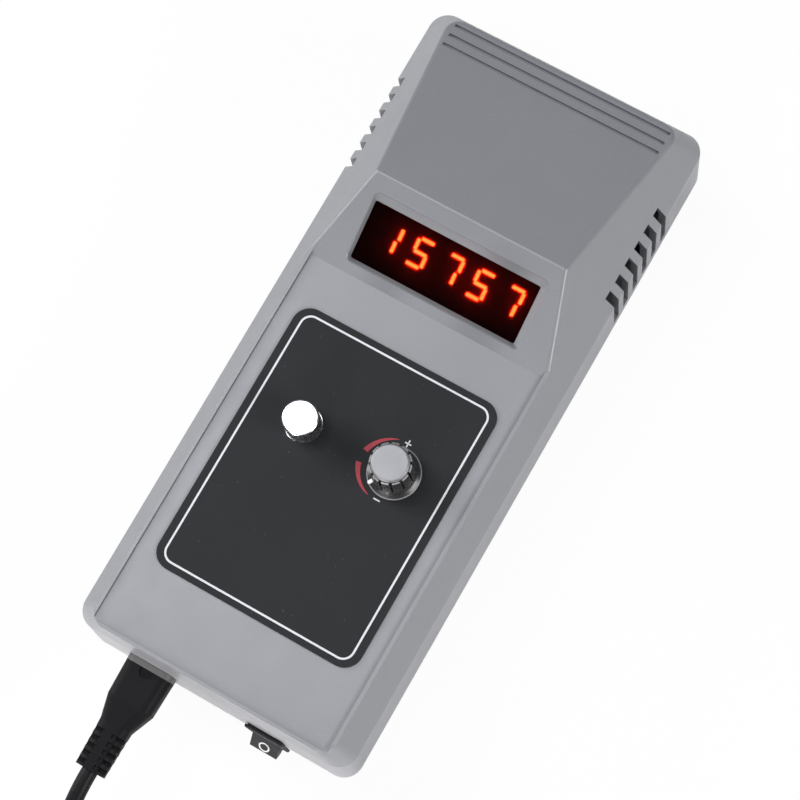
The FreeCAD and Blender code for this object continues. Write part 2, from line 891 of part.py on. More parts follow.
# Pillars of the display board hang from the display face, one each side of the digits
display_screw_x = size("display_board_width") / 2 - size("post_diameter") / 2
display_posts = []
display_pilots = []
display_screws = []
display_holes = []
for side in (-1, 1):
    tag = "left" if side < 0 else "right"
    across = display_screw_x * side
    head_depth = board_depth + size("display_board_thickness")
    post = rod("display_post_" + tag, size("post_diameter"), board_depth - skin + 1,
               on_display(across, size("window_up"), board_depth), tilt)
    pilot = rod("display_pilot_" + tag, size("screw_diameter"), size("screw_bite"),
                on_display(across, size("window_up"), board_depth + 0.5), tilt)
    shank = rod("display_shank_" + tag, size("screw_diameter"),
                size("display_board_thickness") + size("screw_bite") - 1,
                on_display(across, size("window_up"), head_depth), tilt)
    head = rod("display_head_" + tag, size("screw_head_diameter"), size("screw_head_height"),
               on_display(across, size("window_up"), head_depth + size("screw_head_height")), tilt)
    display_holes.append(rod("display_hole_" + tag, board_hole, size("display_board_thickness") + 2,
                             on_display(across, size("window_up"), head_depth + 1), tilt))
    display_posts.append(post)
    display_pilots.append(pilot)
    display_screws.append(fuse("display_screw_" + tag, [shank, head]))
node(cut("display_board_drilled", display_plate, display_holes), "display_board")
node(group("display_screws", display_screws), "display_screws")

# Panel plate

label_body = new_body("label_blank")
label_sketch = sketch_on(label_body, "label_outline", "XY_Plane", panel)
label_middle = size("label_shift")
rounded_rectangle(label_sketch, label_middle - size("label_width") / 2,
                  label_middle + size("label_width") / 2, low_end + size("label_low"),
                  low_end + size("label_low") + size("label_length"), size("label_radius"))
pad(label_body, "label_pad", label_sketch, size("label_thickness"))
control_y = low_end + size("control_row")
button_x = -size("button_offset")
knob_x = size("knob_offset")
button_hole = rod("button_hole", size("button_diameter") + size("button_clearance") * 2,
                  margin, (button_x, control_y, panel_inside - 5))
bush_hole = rod("bush_hole", size("bush_diameter") + size("panel_fit") * 2, margin,
                (knob_x, control_y, panel_inside - 5))
label_cut = cut("label_cut", label_body, [button_hole, bush_hole])
node(label_cut, "panel_label")

# Control board, the push switch on it and the button above

board_thickness = size("board_thickness")
control_top = panel_inside - size("pot_depth")
control_board = centred_block(
    "control_board_blank", (ZERO, control_y, control_top - board_thickness / 2),
    (size("control_board_width"), size("control_board_length"), board_thickness))
control_posts = []
control_pilots = []
control_screws = []
control_holes = []
for side in (-1, 1):
    tag = "left" if side < 0 else "right"
    x = size("control_post_offset") * side
    for end, y in (("low", control_y - 7.5), ("high", control_y + 7.5)):
        label = "%s_%s" % (tag, end)
        control_posts.append(rod("control_post_" + label, size("post_diameter"),
                                 panel_inside - control_top + 1, (x, y, control_top)))
        control_pilots.append(rod("control_pilot_" + label, size("screw_diameter"),
                                  size("screw_bite") + 0.5, (x, y, control_top - 0.5)))
        shank = rod("control_shank_" + label, size("screw_diameter"),
                    board_thickness + size("screw_bite") - 0.5, (x, y, control_top - board_thickness))
        head = rod("control_head_" + label, size("screw_head_diameter"), size("screw_head_height"),
                   (x, y, control_top - board_thickness - size("screw_head_height")))
        control_screws.append(fuse("control_screw_" + label, [shank, head]))
        control_holes.append(rod("control_hole_" + label, board_hole, board_thickness + 2,
                                 (x, y, control_top - board_thickness - 1)))
node(cut("control_board_drilled", control_board, control_holes), "control_board")
node(group("control_screws", control_screws), "control_screws")

stem_radius_gap = size("stem_clearance") * 2
flange_top = panel_inside - size("stop_gap")
flange_low = flange_top - size("button_flange_thickness")
button_top = label_top + size("button_height")
switch_top = flange_low - size("button_travel") - size("stop_gap")
cap_body = new_body("button_cap_body")
cap_sketch = sketch_on(cap_body, "cap_outline", "XZ_Plane")
cap_radius = size("button_diameter") / 2
flange_radius = cap_radius + size("button_flange")
polygon(cap_sketch, (
    (ZERO, ZERO),
    (flange_radius, ZERO),
    (flange_radius, size("button_flange_thickness")),
    (cap_radius, size("button_flange_thickness")),
    (cap_radius, button_top - flange_low),
    (ZERO, button_top - flange_low),
))
cap_turn = revolve(cap_body, "cap_turned", cap_sketch)
fillet(cap_body, "cap_round", cap_turn, fixed(0.5),
       lambda edge: edge.BoundBox.ZMin > SIZES["button_height"] and edge.BoundBox.XLength > 1)
place(cap_body, (button_x, control_y, flange_low))
node(cap_body, "button_cap")
stem_length = flange_low - control_top - size("button_travel") - size("stop_gap")
node(rod("button_stem", size("stem_diameter"), stem_length,
         (button_x, control_y, flange_low - stem_length)), "button_stem")
switch_block = centred_block(
    "push_switch_block", (button_x, control_y, (control_top + switch_top) / 2),
    (size("switch_side"), size("switch_side"), switch_top - control_top))
stem_bore = rod("stem_bore", size("stem_diameter") + stem_radius_gap, margin,
                (button_x, control_y, control_top - 5))
node(cut("push_switch_cut", switch_block, [stem_bore]), "push_switch")

# Potentiometer under the knob

nut_low = label_top
nut_top = nut_low + size("nut_thickness")
bush_top = nut_top + size("nut_room") - 0.1
shaft_low = control_top + 2
pot_can = rod("pot_can", size("pot_diameter"), size("pot_depth"), (knob_x, control_y, control_top))
pot_bush = rod("pot_bush", size("bush_diameter"), bush_top - panel_inside,
               (knob_x, control_y, panel_inside))
shaft_bore = rod("shaft_bore", size("shaft_diameter") + size("shaft_clearance") * 2, margin,
                 (knob_x, control_y, shaft_low - 0.2))
node(cut("pot_cut", fuse("pot_solid", [pot_can, pot_bush]), [shaft_bore]), "pot_body")
nut = doc.addObject("Part::Prism", "pot_nut_hexagon")
nut.Polygon = 6
bind(nut, "Circumradius", size("nut_across") / math.sqrt(3))
bind(nut, "Height", size("nut_thickness"))
place(nut, (knob_x, control_y, nut_low))
nut_bore = rod("nut_bore", size("bush_diameter") + size("window_clearance"), margin,
               (knob_x, control_y, nut_low - 5))
node(cut("pot_nut_cut", nut, [nut_bore]), "pot_nut")

# Knob: skirt and ribbed grip in one moulding, with a bright cap and a white mark

knob_low = label_top + size("knob_gap")
knob_top = label_top + size("knob_height") - size("cap_thickness")
grip_height = knob_top - knob_low
skirt_radius = size("skirt_diameter") / 2
recess_radius = size("nut_across") / math.sqrt(3) + size("nut_room")
recess_high = bush_top + 0.4 - knob_low
shaft_top = grip_height - 2
knob_body = new_body("knob_moulding")
knob_sketch = sketch_on(knob_body, "knob_outline", "XZ_Plane")
bore_radius = size("shaft_diameter") / 2 + 0.01
polygon(knob_sketch, (
    (ZERO, shaft_top),
    (bore_radius, shaft_top),
    (bore_radius, recess_high),
    (recess_radius, recess_high),
    (recess_radius, ZERO),
    (skirt_radius, ZERO),
    (skirt_radius, size("skirt_edge")),
    (size("grip_low_radius"), size("skirt_rise")),
    (size("grip_top_radius"), grip_height - size("grip_chamfer")),
    (size("grip_top_radius") - size("grip_chamfer"), grip_height),
    (ZERO, grip_height),
))
revolve(knob_body, "knob_turned", knob_sketch)
slot_sketch = sketch_on(knob_body, "grip_slot_outline", "XY_Plane", grip_height + 1)
half_slot = size("grip_slot_width") / 2
polygon(slot_sketch, (
    (size("grip_top_radius") - size("grip_slot_depth"), -half_slot),
    (size("grip_low_radius") + 0.4, -half_slot),
    (size("grip_low_radius") + 0.4, half_slot),
    (size("grip_top_radius") - size("grip_slot_depth"), half_slot),
))
grip_slot = pocket(knob_body, "grip_slot", slot_sketch, grip_height - size("skirt_rise") - 1)
polar_pattern(knob_body, "grip_slots", grip_slot, size("grip_slots"))
place(knob_body, (knob_x, control_y, knob_low))

bearing = math.radians(SIZES["pointer_bearing"])
skirt_fall = math.degrees(math.atan(
    (SIZES["skirt_rise"] - SIZES["skirt_edge"]) / (SIZES["skirt_diameter"] / 2 - SIZES["grip_low_radius"])))
pointer = doc.addObject("Part::Box", "pointer_block")
bind(pointer, "Length", size("pointer_length"))
bind(pointer, "Width", size("pointer_width"))
bind(pointer, "Height", size("pointer_thickness"))
pointer_turn = FreeCAD.Rotation(Z, SIZES["pointer_bearing"]).multiply(FreeCAD.Rotation(Y, skirt_fall))
pointer_start = (skirt_radius - size("pointer_length")).number
corner = pointer_turn.multVec(FreeCAD.Vector(0, -SIZES["pointer_width"] / 2, 0))
inner_rise = SIZES["skirt_edge"] + (SIZES["skirt_diameter"] / 2 - pointer_start) * math.tan(
    math.radians(skirt_fall)) - SIZES["pointer_thickness"] + 0.15
place(pointer, (
    knob_x + (pointer_start * math.cos(bearing) + corner.x),
    control_y + (pointer_start * math.sin(bearing) + corner.y),
    knob_low + (inner_rise + corner.z)), pointer_turn)
knob_cut = cut("knob_cut", knob_body, [pointer])
node(knob_cut, "knob_skirt")
node(pointer, "knob_pointer")

knob_cap_body = new_body("knob_cap_body")
knob_cap_sketch = sketch_on(knob_cap_body, "knob_cap_outline", "XY_Plane")
circle(knob_cap_sketch, ZERO, ZERO, size("cap_diameter"))
knob_cap_pad = pad(knob_cap_body, "knob_cap_pad", knob_cap_sketch, size("cap_thickness"))
fillet(knob_cap_body, "knob_cap_round", knob_cap_pad, size("cap_thickness") * 0.6,
       lambda edge: edge.BoundBox.ZMin > 0.5 and edge.BoundBox.XLength > 1)
place(knob_cap_body, (knob_x, control_y, knob_top))
node(knob_cap_body, "knob_cap")
node(rod("pot_shaft_rod", size("shaft_diameter"), knob_low + shaft_top - shaft_low,
         (knob_x, control_y, shaft_low)), "pot_shaft")

# Rocker switch in the lower end, across the parting line

rocker_x = size("rocker_offset")
rocker_z = size("rocker_level")
pivot_y = low_end + size("rocker_pivot_depth")
bezel_y = low_end - size("bezel_thickness")
bezel = new_body("switch_bezel")
bezel_sketch = sketch_on(bezel, "bezel_outline", "XZ_Plane")
rounded_rectangle(bezel_sketch, -size("bezel_width") / 2, size("bezel_width") / 2,
                  -size("bezel_length") / 2, size("bezel_length") / 2, size("bezel_radius"))
bezel_pad = pad(bezel, "bezel_pad", bezel_sketch, size("bezel_thickness"))
fillet(bezel, "bezel_round", bezel_pad, size("bezel_thickness") * 0.6,
       lambda edge: edge.BoundBox.YMax < -1.0 and edge.BoundBox.YLength < 0.01)
place(bezel, (rocker_x, low_end, rocker_z))
barrel_end = low_end + size("barrel_depth")
barrel = block("switch_barrel",
               (rocker_x - size("barrel_width") / 2, low_end, rocker_z - size("barrel_length") / 2),
               (rocker_x + size("barrel_width") / 2, barrel_end, rocker_z + size("barrel_length") / 2))
well_half_width = size("rocker_width") / 2 + size("rocker_side_gap")
well_half_length = size("rocker_radius") + size("rocker_end_gap")
well_box = block("rocker_well",
                 (rocker_x - well_half_width, low_end - margin, rocker_z - well_half_length),
                 (rocker_x + well_half_width, low_end + size("rocker_well"), rocker_z + well_half_length))
pin_bore = rod("rocker_pin_bore", size("pin_diameter") + size("pin_clearance") * 2,
               size("barrel_width") + 2, (rocker_x - size("barrel_width") / 2 - 1, pivot_y, rocker_z),
               ALONG_X)
housing = cut("switch_housing_cut", fuse("switch_housing_solid", [bezel, barrel]), [well_box, pin_bore])
node(housing, "switch_housing")

# The rocker: a shallow V front, ends rounded about the pivot, two stub pins
rocker_front = size("rocker_stand") + size("rocker_pivot_depth")
rocker_body = new_body("rocker_moulding")
rocker_sketch = sketch_on(rocker_body, "rocker_outline", "YZ_Plane")
reach = size("rocker_radius") + 1
polygon(rocker_sketch, (
    (-rocker_front - reach * size("rocker_slope"), -reach),
    (-rocker_front, ZERO),
    (-rocker_front - reach * size("rocker_slope"), reach),
    (size("rocker_back"), reach * 0.6),
    (size("rocker_back"), reach * -0.6),
))
pad(rocker_body, "rocker_pad", rocker_sketch, size("rocker_width"), symmetric=True)
rocker_drum = rod("rocker_drum", size("rocker_radius") * 2, size("rocker_width"),
                  (size("rocker_width") / -2, ZERO, ZERO), ALONG_X)
rocker_pins = rod("rocker_pins", size("pin_diameter"), size("barrel_width"),
                  (size("barrel_width") / -2, ZERO, ZERO), ALONG_X)
rocker = fuse("rocker_solid", [common("rocker_trimmed", [rocker_body, rocker_drum]), rocker_pins])
place(rocker, (rocker_x, pivot_y, rocker_z), FreeCAD.Rotation(X, -SIZES["rocker_swing"]))
node(rocker, "rocker")

tabs = []
for side in (-1, 1):
    level = rocker_z + size("tab_spacing") / 2 * side
    tabs.append(centred_block(
        "switch_tab_%s" % ("low" if side < 0 else "high"),
        (rocker_x, barrel_end + size("tab_length") / 2, level),
        (size("tab_width"), size("tab_length"), size("tab_thickness"))))
node(group("switch_terminals_group", tabs), "switch_terminals")

# Mains inlet: a figure-eight socket with two contact pins

inlet_x = size("inlet_offset")
inlet_z = size("inlet_level")


def stadium_sketch(sketch, width, height):
    return rounded_rectangle(sketch, width / -2, width / 2, height / -2, height / 2, height / 2 - 0.02)


inlet_body = new_body("inlet_moulding")
inlet_sketch = sketch_on(inlet_body, "inlet_outline", "XZ_Plane", size("inlet_stand"))
rounded_rectangle(inlet_sketch, size("inlet_width") / -2, size("inlet_width") / 2,
                  size("inlet_height") / -2, size("inlet_height") / 2, size("relief_radius"))
pad(inlet_body, "inlet_pad", inlet_sketch, size("inlet_depth") + size("inlet_stand"), reverse=True)
socket_sketch = sketch_on(inlet_body, "socket_outline", "XZ_Plane", size("inlet_stand"))
socket_width = size("inlet_width") - size("socket_wall") * 2
socket_height = size("inlet_height") - size("socket_wall") * 2 - 1.2
stadium_sketch(socket_sketch, socket_width, socket_height)
pocket(inlet_body, "socket_pocket", socket_sketch, size("socket_depth"))
place(inlet_body, (inlet_x, low_end, inlet_z))
contact_base = low_end - size("inlet_stand") + size("socket_depth")
inlet_back = low_end + size("inlet_depth")
contacts = []
for side in (-1, 1):
    tag = "left" if side < 0 else "right"
    x = inlet_x + size("contact_spacing") / 2 * side
    contacts.append(rod("inlet_contact_" + tag, size("contact_diameter"),
                        inlet_back + 5 - contact_base + size("contact_length"),
                        (x, contact_base - size("contact_length"), inlet_z), ALONG_Y))
node(cut("inlet_cut", inlet_body, contacts), "power_inlet")
node(group("inlet_pins_group", contacts), "inlet_pins")

# Connector pushed into the inlet

connector_y = low_end - size("inlet_stand")
connector_body = new_body("connector_moulding")
connector_sections = (
    (ZERO, ZERO, size("inlet_width"), size("connector_height")),
    (size("connector_shoulder"), ZERO, size("connector_shoulder_width"), size("connector_height")),
    (size("connector_waist"), size("neck_shift"), size("connector_waist_width"), size("neck_height")),
    (size("connector_body_length"), size("neck_shift"), size("neck_width"), size("neck_height")),
)
connector_sketches = []
for step, (along, shift, width, height) in enumerate(connector_sections):
    sketch = sketch_on(connector_body, "connector_section_%d" % step, "XZ_Plane", along)
    rounded_rectangle(sketch, shift - width / 2, shift + width / 2, height / -2, height / 2,
                      size("relief_radius"))
    connector_sketches.append(sketch)
ruled_loft(connector_body, "connector_loft", connector_sketches)
nose_sketch = sketch_on(connector_body, "nose_outline", "XZ_Plane")
stadium_sketch(nose_sketch, socket_width - size("nose_clearance") * 2,
               socket_height - size("nose_clearance") * 2)
pad(connector_body, "nose_pad", nose_sketch, size("nose_length"), reverse=True)
place(connector_body, (inlet_x, connector_y, inlet_z))
contact_ways = []
for side in (-1, 1):
    x = inlet_x + size("contact_spacing") / 2 * side
    contact_ways.append(rod(
        "contact_way_%s" % ("left" if side < 0 else "right"), size("contact_diameter") + 0.2,
        margin, (x, connector_y - 2, inlet_z), ALONG_Y))
dimple = rod("connector_dimple", size("dimple_diameter"), margin,
             (inlet_x, connector_y - size("dimple_back"),
              inlet_z + size("connector_height") / 2 - size("dimple_depth")))
node(cut("connector_cut", connector_body, contact_ways + [dimple]), "power_connector")

# Strain relief: rows of pockets from above and below leave a spine, and a web at mid height
relief_x = inlet_x + size("neck_shift")
relief_y = connector_y - size("connector_body_length")
relief_body = new_body("relief_moulding")
relief_sketches = []
for step, (along, width, height) in enumerate((
        (ZERO, size("neck_width"), size("neck_height")),
        (size("relief_length"), size("relief_end_width"), size("relief_end_height")))):
    sketch = sketch_on(relief_body, "relief_section_%d" % step, "XZ_Plane", along)
    rounded_rectangle(sketch, width / -2, width / 2, height / -2, height / 2, size("relief_radius"))
    relief_sketches.append(sketch)
ruled_loft(relief_body, "relief_loft", relief_sketches)
place(relief_body, (relief_x, relief_y, inlet_z))
relief_pockets = []
for i in range(int(SIZES["relief_slots"])):
    y = relief_y - size("relief_first_slot") - size("relief_slot_pitch") * i
    for side in (-1, 1):
        near = relief_x + size("relief_spine") / 2 * side
        far = relief_x + size("neck_width") * side
        left, right = (near, far) if side > 0 else (far, near)
        for half in (-1, 1):
            web = inlet_z + size("relief_web") / 2 * half
            outside = inlet_z + size("neck_height") * half
            low, high = (web, outside) if half > 0 else (outside, web)
            relief_pockets.append(block(
                "relief_pocket_%d_%s_%s" % (i, "left" if side < 0 else "right",
                                            "low" if half < 0 else "high"),
                (left, y - size("relief_slot_width") / 2, low),
                (right, y + size("relief_slot_width") / 2, high)))
relief_sleeve = rod("relief_sleeve", size("cord_diameter") + size("relief_sleeve_wall") * 2,
                    size("relief_length"), (relief_x, relief_y - size("relief_length"), inlet_z), ALONG_Y)
node(fuse("relief_fused", [cut("relief_pocketed", relief_body, relief_pockets), relief_sleeve]),
     "connector_relief")

# Cord: straight runs joined by tangent arcs, then a coil of two layers

cord_radius = SIZES["cord_diameter"] / 2
exit_y = (relief_y - size("relief_length")).number
exit_x = relief_x.number
exit_z = SIZES["inlet_level"]
coil_x, coil_y = -14.5, -206.0
ROUTE = [
    (exit_x, exit_y, exit_z),
    (exit_x, exit_y - 9.0, exit_z),
    (exit_x + 2.0, exit_y - 20.0, exit_z - 3.2),
    (exit_x + 4.0, exit_y - 32.0, exit_z - 12.0),
    (exit_x + 5.3, exit_y - 44.0, exit_z - 23.5),
    (coil_x, exit_y - 56.5, cord_radius),
    (coil_x, coil_y, cord_radius),
]


def arc_through(start, tangent, end):
    """The circular arc that leaves start along tangent and reaches end."""
    chord = end - start
    unit = FreeCAD.Vector(chord).normalize()
    side = tangent - unit * tangent.dot(unit)
    if side.Length < 1e-9:
        return Part.LineSegment(start, end).toShape()
    half = math.acos(max(-1.0, min(1.0, tangent.dot(unit))))
    middle = (start + end) * 0.5 + side.normalize() * (chord.Length / 2 * math.tan(half / 2))
    return Part.Arc(start, middle, end).toShape()


def rounded_route(points):
    """Edges along the points, each corner an arc as large as its two runs allow."""
    points = [FreeCAD.Vector(*point) for point in points]
    edges, radii = [], []
    here = points[0]
    for before, corner, after in zip(points, points[1:], points[2:]):
        back, ahead = before - corner, after - corner
        turn = math.pi - back.getAngle(ahead)
        shorter = min(back.Length, ahead.Length)
        setback = 0.45 * shorter
        radii.append(setback / math.tan(turn / 2))
        start = corner + back.normalize() * setback
        end = corner + ahead.normalize() * setback
        edges.append(Part.LineSegment(here, start).toShape())
        edges.append(arc_through(start, (corner - start).normalize(), end))
        here = end
    edges.append(Part.LineSegment(here, points[-1]).toShape())
    return edges, radii


def biarc(start, start_tangent, end, end_tangent):
    """Two arcs that join smoothly and meet both ends along their tangents."""
    chord = end - start
    total = start_tangent + end_tangent
    spread = 2 * (1 - start_tangent.dot(end_tangent))
    along = chord.dot(total)
    reach = (math.sqrt(along * along + spread * chord.dot(chord)) - along) / spread
    joint = (start + end + (start_tangent - end_tangent) * reach) * 0.5
    first = arc_through(start, start_tangent, joint)
    reversed_arc = arc_through(end, end_tangent * -1, joint)
    middle = reversed_arc.valueAt((reversed_arc.FirstParameter + reversed_arc.LastParameter) / 2)
    return [first, Part.Arc(joint, middle, end).toShape()]


def coil_edges(start):
    """Half turns that spiral in on the surface, climb a layer and spiral out again."""
    pitch = SIZES["turn_pitch"]
    inner = SIZES["inner_turn_radius"]
    count = int(SIZES["half_turns"])
    lead = SIZES["cord_diameter"]
    edges = [Part.LineSegment(start, start - Y * lead).toShape()]
    here = start - Y * lead
    heading = -1
    radii = [inner + pitch / 2 * step for step in range(count, 0, -1)]
    for layer in (0, 1):
        for radius in radii if layer == 0 else reversed(radii):
            across = X * (-2 * radius * heading)
            middle = here + across * 0.5 + Y * (radius * heading)
            edges.append(Part.Arc(here, middle, here + across).toShape())
            here = here + across
            heading = -heading
        if layer == 0:
            across = X * (-2 * inner * heading)
            top = here + across * 0.5 + Y * (inner * heading) + Z * (pitch / 2)
            climb = (across.normalize() + Z * (1.5 * pitch / (math.pi * inner))).normalize()
            there = here + X * (-2 * inner * heading) + Z * pitch
            edges += biarc(here, Y * heading, top, climb)
            edges += biarc(top, climb, there, Y * -heading)
            here = there
            heading = -heading
    edges.append(Part.LineSegment(here, here + Y * (heading * lead)).toShape())
    return edges, here + Y * (heading * lead)


def tube(edges, radius):
    """A round tube swept along joined edges."""
    wire = Part.Wire(edges)
    start = edges[0].valueAt(edges[0].FirstParameter)
    direction = edges[0].tangentAt(edges[0].FirstParameter)
    ring = Part.Wire([Part.Circle(start, direction, radius).toShape()])
    shell = Part.BRepOffsetAPI.MakePipeShell(wire)
    shell.add(ring)
    shell.build()
    shell.makeSolid()
    return shell.shape(), wire


def least_gap(edges, diameter, spacing=2.0):
    """The smallest air between stretches of one tube that are not next to each other."""
    points = []
    for edge in edges:
        points += edge.discretize(max(2, int(edge.Length / spacing) + 1))[:-1]
    skip = int(math.pi * diameter / spacing) + 2
    closest = min((a - b).Length for i, a in enumerate(points) for b in points[i + skip:])
    return closest - diameter


def tube_node(edges, name):
    solid, wire = tube(edges, cord_radius)
    section = math.pi * cord_radius ** 2
    print("%s length %.1f volume %.0f section x length %.0f"
          % (name, wire.Length, solid.Volume, section * wire.Length))
    feature = doc.addObject("Part::Feature", name)
    feature.Shape = solid
    return node(feature, name)


route_edges, route_radii = rounded_route(ROUTE)
print("cord radii", [round(radius, 1) for radius in route_radii])
tube_node(route_edges, "power_cord")
coil, coil_end = coil_edges(FreeCAD.Vector(*ROUTE[-1]))
print("coil least gap to itself %.2f" % least_gap(coil, SIZES["cord_diameter"]))
tube_node(coil, "cord_coil")

# Mains plug with two flat blades, beside the coil

plug_start = coil_end
plug_height = fixed(coil_end.z * 2)
plug_place = (fixed(plug_start.x), fixed(plug_start.y), fixed(plug_start.z))
plug_relief = doc.addObject("Part::Cone", "plug_relief_cone")
bind(plug_relief, "Radius1", size("plug_relief_end") / 2)
bind(plug_relief, "Radius2", size("plug_relief_diameter") / 2)
bind(plug_relief, "Height", size("plug_relief_length"))
place(plug_relief, plug_place, ALONG_Y)
node(plug_relief, "plug_relief")
plug_body = new_body("plug_moulding")
plug_sections = (
    (ZERO, size("plug_relief_diameter") + 1, size("plug_relief_diameter") + 1),
    (size("plug_nose"), size("plug_width"), plug_height),
    (size("plug_length"), size("plug_width"), plug_height),
)
plug_sketches = []
for step, (along, width, height) in enumerate(plug_sections):
    sketch = sketch_on(plug_body, "plug_section_%d" % step, "XZ_Plane", -along)
    rounded_rectangle(sketch, width / -2, width / 2, height / -2, height / 2, size("plug_radius"))
    plug_sketches.append(sketch)
ruled_loft(plug_body, "plug_loft", plug_sketches)
place(plug_body, (plug_place[0], plug_place[1] + size("plug_relief_length"), plug_place[2]))
node(plug_body, "mains_plug")
blade_y = plug_place[1] + size("plug_relief_length") + size("plug_length")
blades = []
for side in (-1, 1):
    blades.append(centred_block(
        "plug_blade_%s" % ("left" if side < 0 else "right"),
        (plug_place[0] + size("blade_spacing") / 2 * side, blade_y + size("blade_length") / 2,
         plug_place[2]),
        (size("blade_thickness"), size("blade_length"), size("blade_width"))))
node(group("plug_pins_group", blades), "plug_pins")

# Flash head in the far end: a frame sunk flush in the wall, window, mirror and tube

lamp_z = size("lamp_level")
frame_y = far_end - size("frame_thickness") - size("frame_sink")
frame_body = new_body("lamp_frame")
frame_sketch = sketch_on(frame_body, "frame_outline", "XZ_Plane")
rounded_rectangle(frame_sketch, size("bezel_frame_width") / -2, size("bezel_frame_width") / 2,
                  size("bezel_frame_height") / -2, size("bezel_frame_height") / 2, size("frame_radius"))
frame_pad = pad(frame_body, "frame_pad", frame_sketch, size("frame_thickness"), reverse=True)
sleeve_sketch = sketch_on(frame_body, "sleeve_outline", "XZ_Plane")
rounded_rectangle(sleeve_sketch, size("sleeve_width") / -2, size("sleeve_width") / 2,
                  size("sleeve_height") / -2, size("sleeve_height") / 2, size("sleeve_radius"))
pad(frame_body, "sleeve_pad", sleeve_sketch, size("sleeve_depth"))
mouth_sketch = sketch_on(frame_body, "mouth_outline", "XZ_Plane", size("sleeve_depth"))
mouth_width = size("sleeve_width") - size("sleeve_wall") * 2
mouth_height = size("sleeve_height") - size("sleeve_wall") * 2
mouth_radius = size("sleeve_radius") - 0.8
rounded_rectangle(mouth_sketch, mouth_width / -2, mouth_width / 2, mouth_height / -2,
                  mouth_height / 2, mouth_radius)
pocket(frame_body, "mouth_pocket", mouth_sketch, size("sleeve_depth") + size("frame_thickness") + 1)
place(frame_body, (ZERO, frame_y, lamp_z))
node(frame_body, "lamp_bezel")

window_y = frame_y + size("frame_thickness") - size("window_set_back")
window_body = new_body("lamp_window_plate")
window_sketch = sketch_on(window_body, "window_outline", "XZ_Plane")
window_gap = size("window_clearance")
rounded_rectangle(window_sketch, mouth_width / -2 + window_gap, mouth_width / 2 - window_gap,
                  mouth_height / -2 + window_gap, mouth_height / 2 - window_gap, mouth_radius)
pad(window_body, "window_pad", window_sketch, size("window_plate"))
place(window_body, (ZERO, window_y, lamp_z))
node(window_body, "lamp_window")

mirror_y = window_y - size("window_plate") - size("window_clearance")
mirror_gap = size("mirror_clearance")


def mirror_form(name, thickness, half_across):
    """A trough across the head: a round bottom that opens out in two flat wings."""
    depth = size("mirror_depth") - thickness
    half_mouth = mouth_height / 2 - mirror_gap - thickness
    body = new_body(name)
    sketch = sketch_on(body, name + "_outline", "YZ_Plane")
    corner = size("mirror_round")
    polygon(sketch, (
        (fixed(0.5) if thickness is not ZERO else ZERO, half_mouth),
        (-depth + corner * 0.3, corner),
        (-depth, corner * 0.45),
        (-depth, corner * -0.45),
        (-depth + corner * 0.3, -corner),
        (fixed(0.5) if thickness is not ZERO else ZERO, -half_mouth),
    ))
    pad(body, name + "_pad", sketch, half_across * 2, symmetric=True)
    place(body, (ZERO, mirror_y, lamp_z))
    return body


mirror_half = mouth_width / 2 - mirror_gap
mirror_thickness = size("mirror_thickness")
mirror_outer = mirror_form("mirror_outer", ZERO, mirror_half)
mirror_inner = mirror_form("mirror_inner", mirror_thickness, mirror_half - mirror_thickness)
tube_y = mirror_y - size("tube_set_back")
tube_half = size("tube_length") / 2
cap_outer = size("tube_diameter") + 1.2
tube_ways = rod("tube_ways", cap_outer + 0.4, mirror_half * 2 + 4,
                (-mirror_half - 2, tube_y, lamp_z), ALONG_X)
node(cut("mirror_cut", mirror_outer, [mirror_inner, tube_ways]), "reflector")
node(rod("xenon_tube_glass", size("tube_diameter"), size("tube_length"),
         (-tube_half, tube_y, lamp_z), ALONG_X), "xenon_tube")
tube_caps = []
tube_clips = []
for side in (-1, 1):
    tag = "left" if side < 0 else "right"
    start = tube_half if side > 0 else -tube_half - (mirror_half - tube_half + 3)
    length = mirror_half - tube_half + 3
    tube_caps.append(rod("tube_cap_" + tag, cap_outer, length, (start, tube_y, lamp_z), ALONG_X))
    outer = (mirror_half + 3) * side
    plate_low = mirror_half + 0.6 if side > 0 else -mirror_half - 0.6 - size("clip_thickness")
    plate = block("clip_plate_" + tag,
                  (plate_low, tube_y - size("clip_width"), wall),
                  (plate_low + size("clip_thickness"), tube_y + size("clip_width"), lamp_z + 6))
    hole = rod("clip_hole_" + tag, cap_outer + size("tube_cap_clearance"), margin,
               (outer - 15, tube_y, lamp_z), ALONG_X)
    tube_clips.append(cut("tube_clip_" + tag, plate, [hole]))
node(group("tube_caps_group", tube_caps), "tube_caps")
node(group("tube_clips_group", tube_clips), "tube_clips")

# Main board on four posts of the back half, and what it carries

board_low = wall + size("main_post_height")
board_high = board_low + board_thickness
board_start = low_end + size("main_board_low")
board_end = board_start + size("main_board_length")
board_half = size("main_board_width") / 2
main_plate = block("main_plate", (-board_half, board_start, board_low),
                   (board_half, board_end, board_high))
post_x = board_half - size("main_post_margin")
main_posts = []
main_pilots = []
board_screws = []
main_holes = []
for side in (-1, 1):
    for end, y in (("low", board_start + size("main_post_margin")),
                   ("high", board_end - size("main_post_margin"))):
        tag = "%s_%s" % ("left" if side < 0 else "right", end)
        x = post_x * side
        main_posts.append(rod("main_post_" + tag, size("main_post_diameter"), board_low - 1,
                              (x, y, fixed(1))))
        main_pilots.append(rod("main_pilot_" + tag, size("screw_diameter"),
                               size("main_post_height"), (x, y, wall + 0.6)))
        shank = rod("main_shank_" + tag, size("screw_diameter"),
                    board_thickness + size("main_post_height") - 1, (x, y, wall + 1))
        head = rod("main_head_" + tag, size("screw_head_diameter"), size("screw_head_height"),
                   (x, y, board_high))
        board_screws.append(fuse("board_screw_" + tag, [shank, head]))
        main_holes.append(rod("main_hole_" + tag, board_hole, board_thickness + 2,
                              (x, y, board_low - 1)))
node(cut("main_board_drilled", main_plate, main_holes), "main_board")
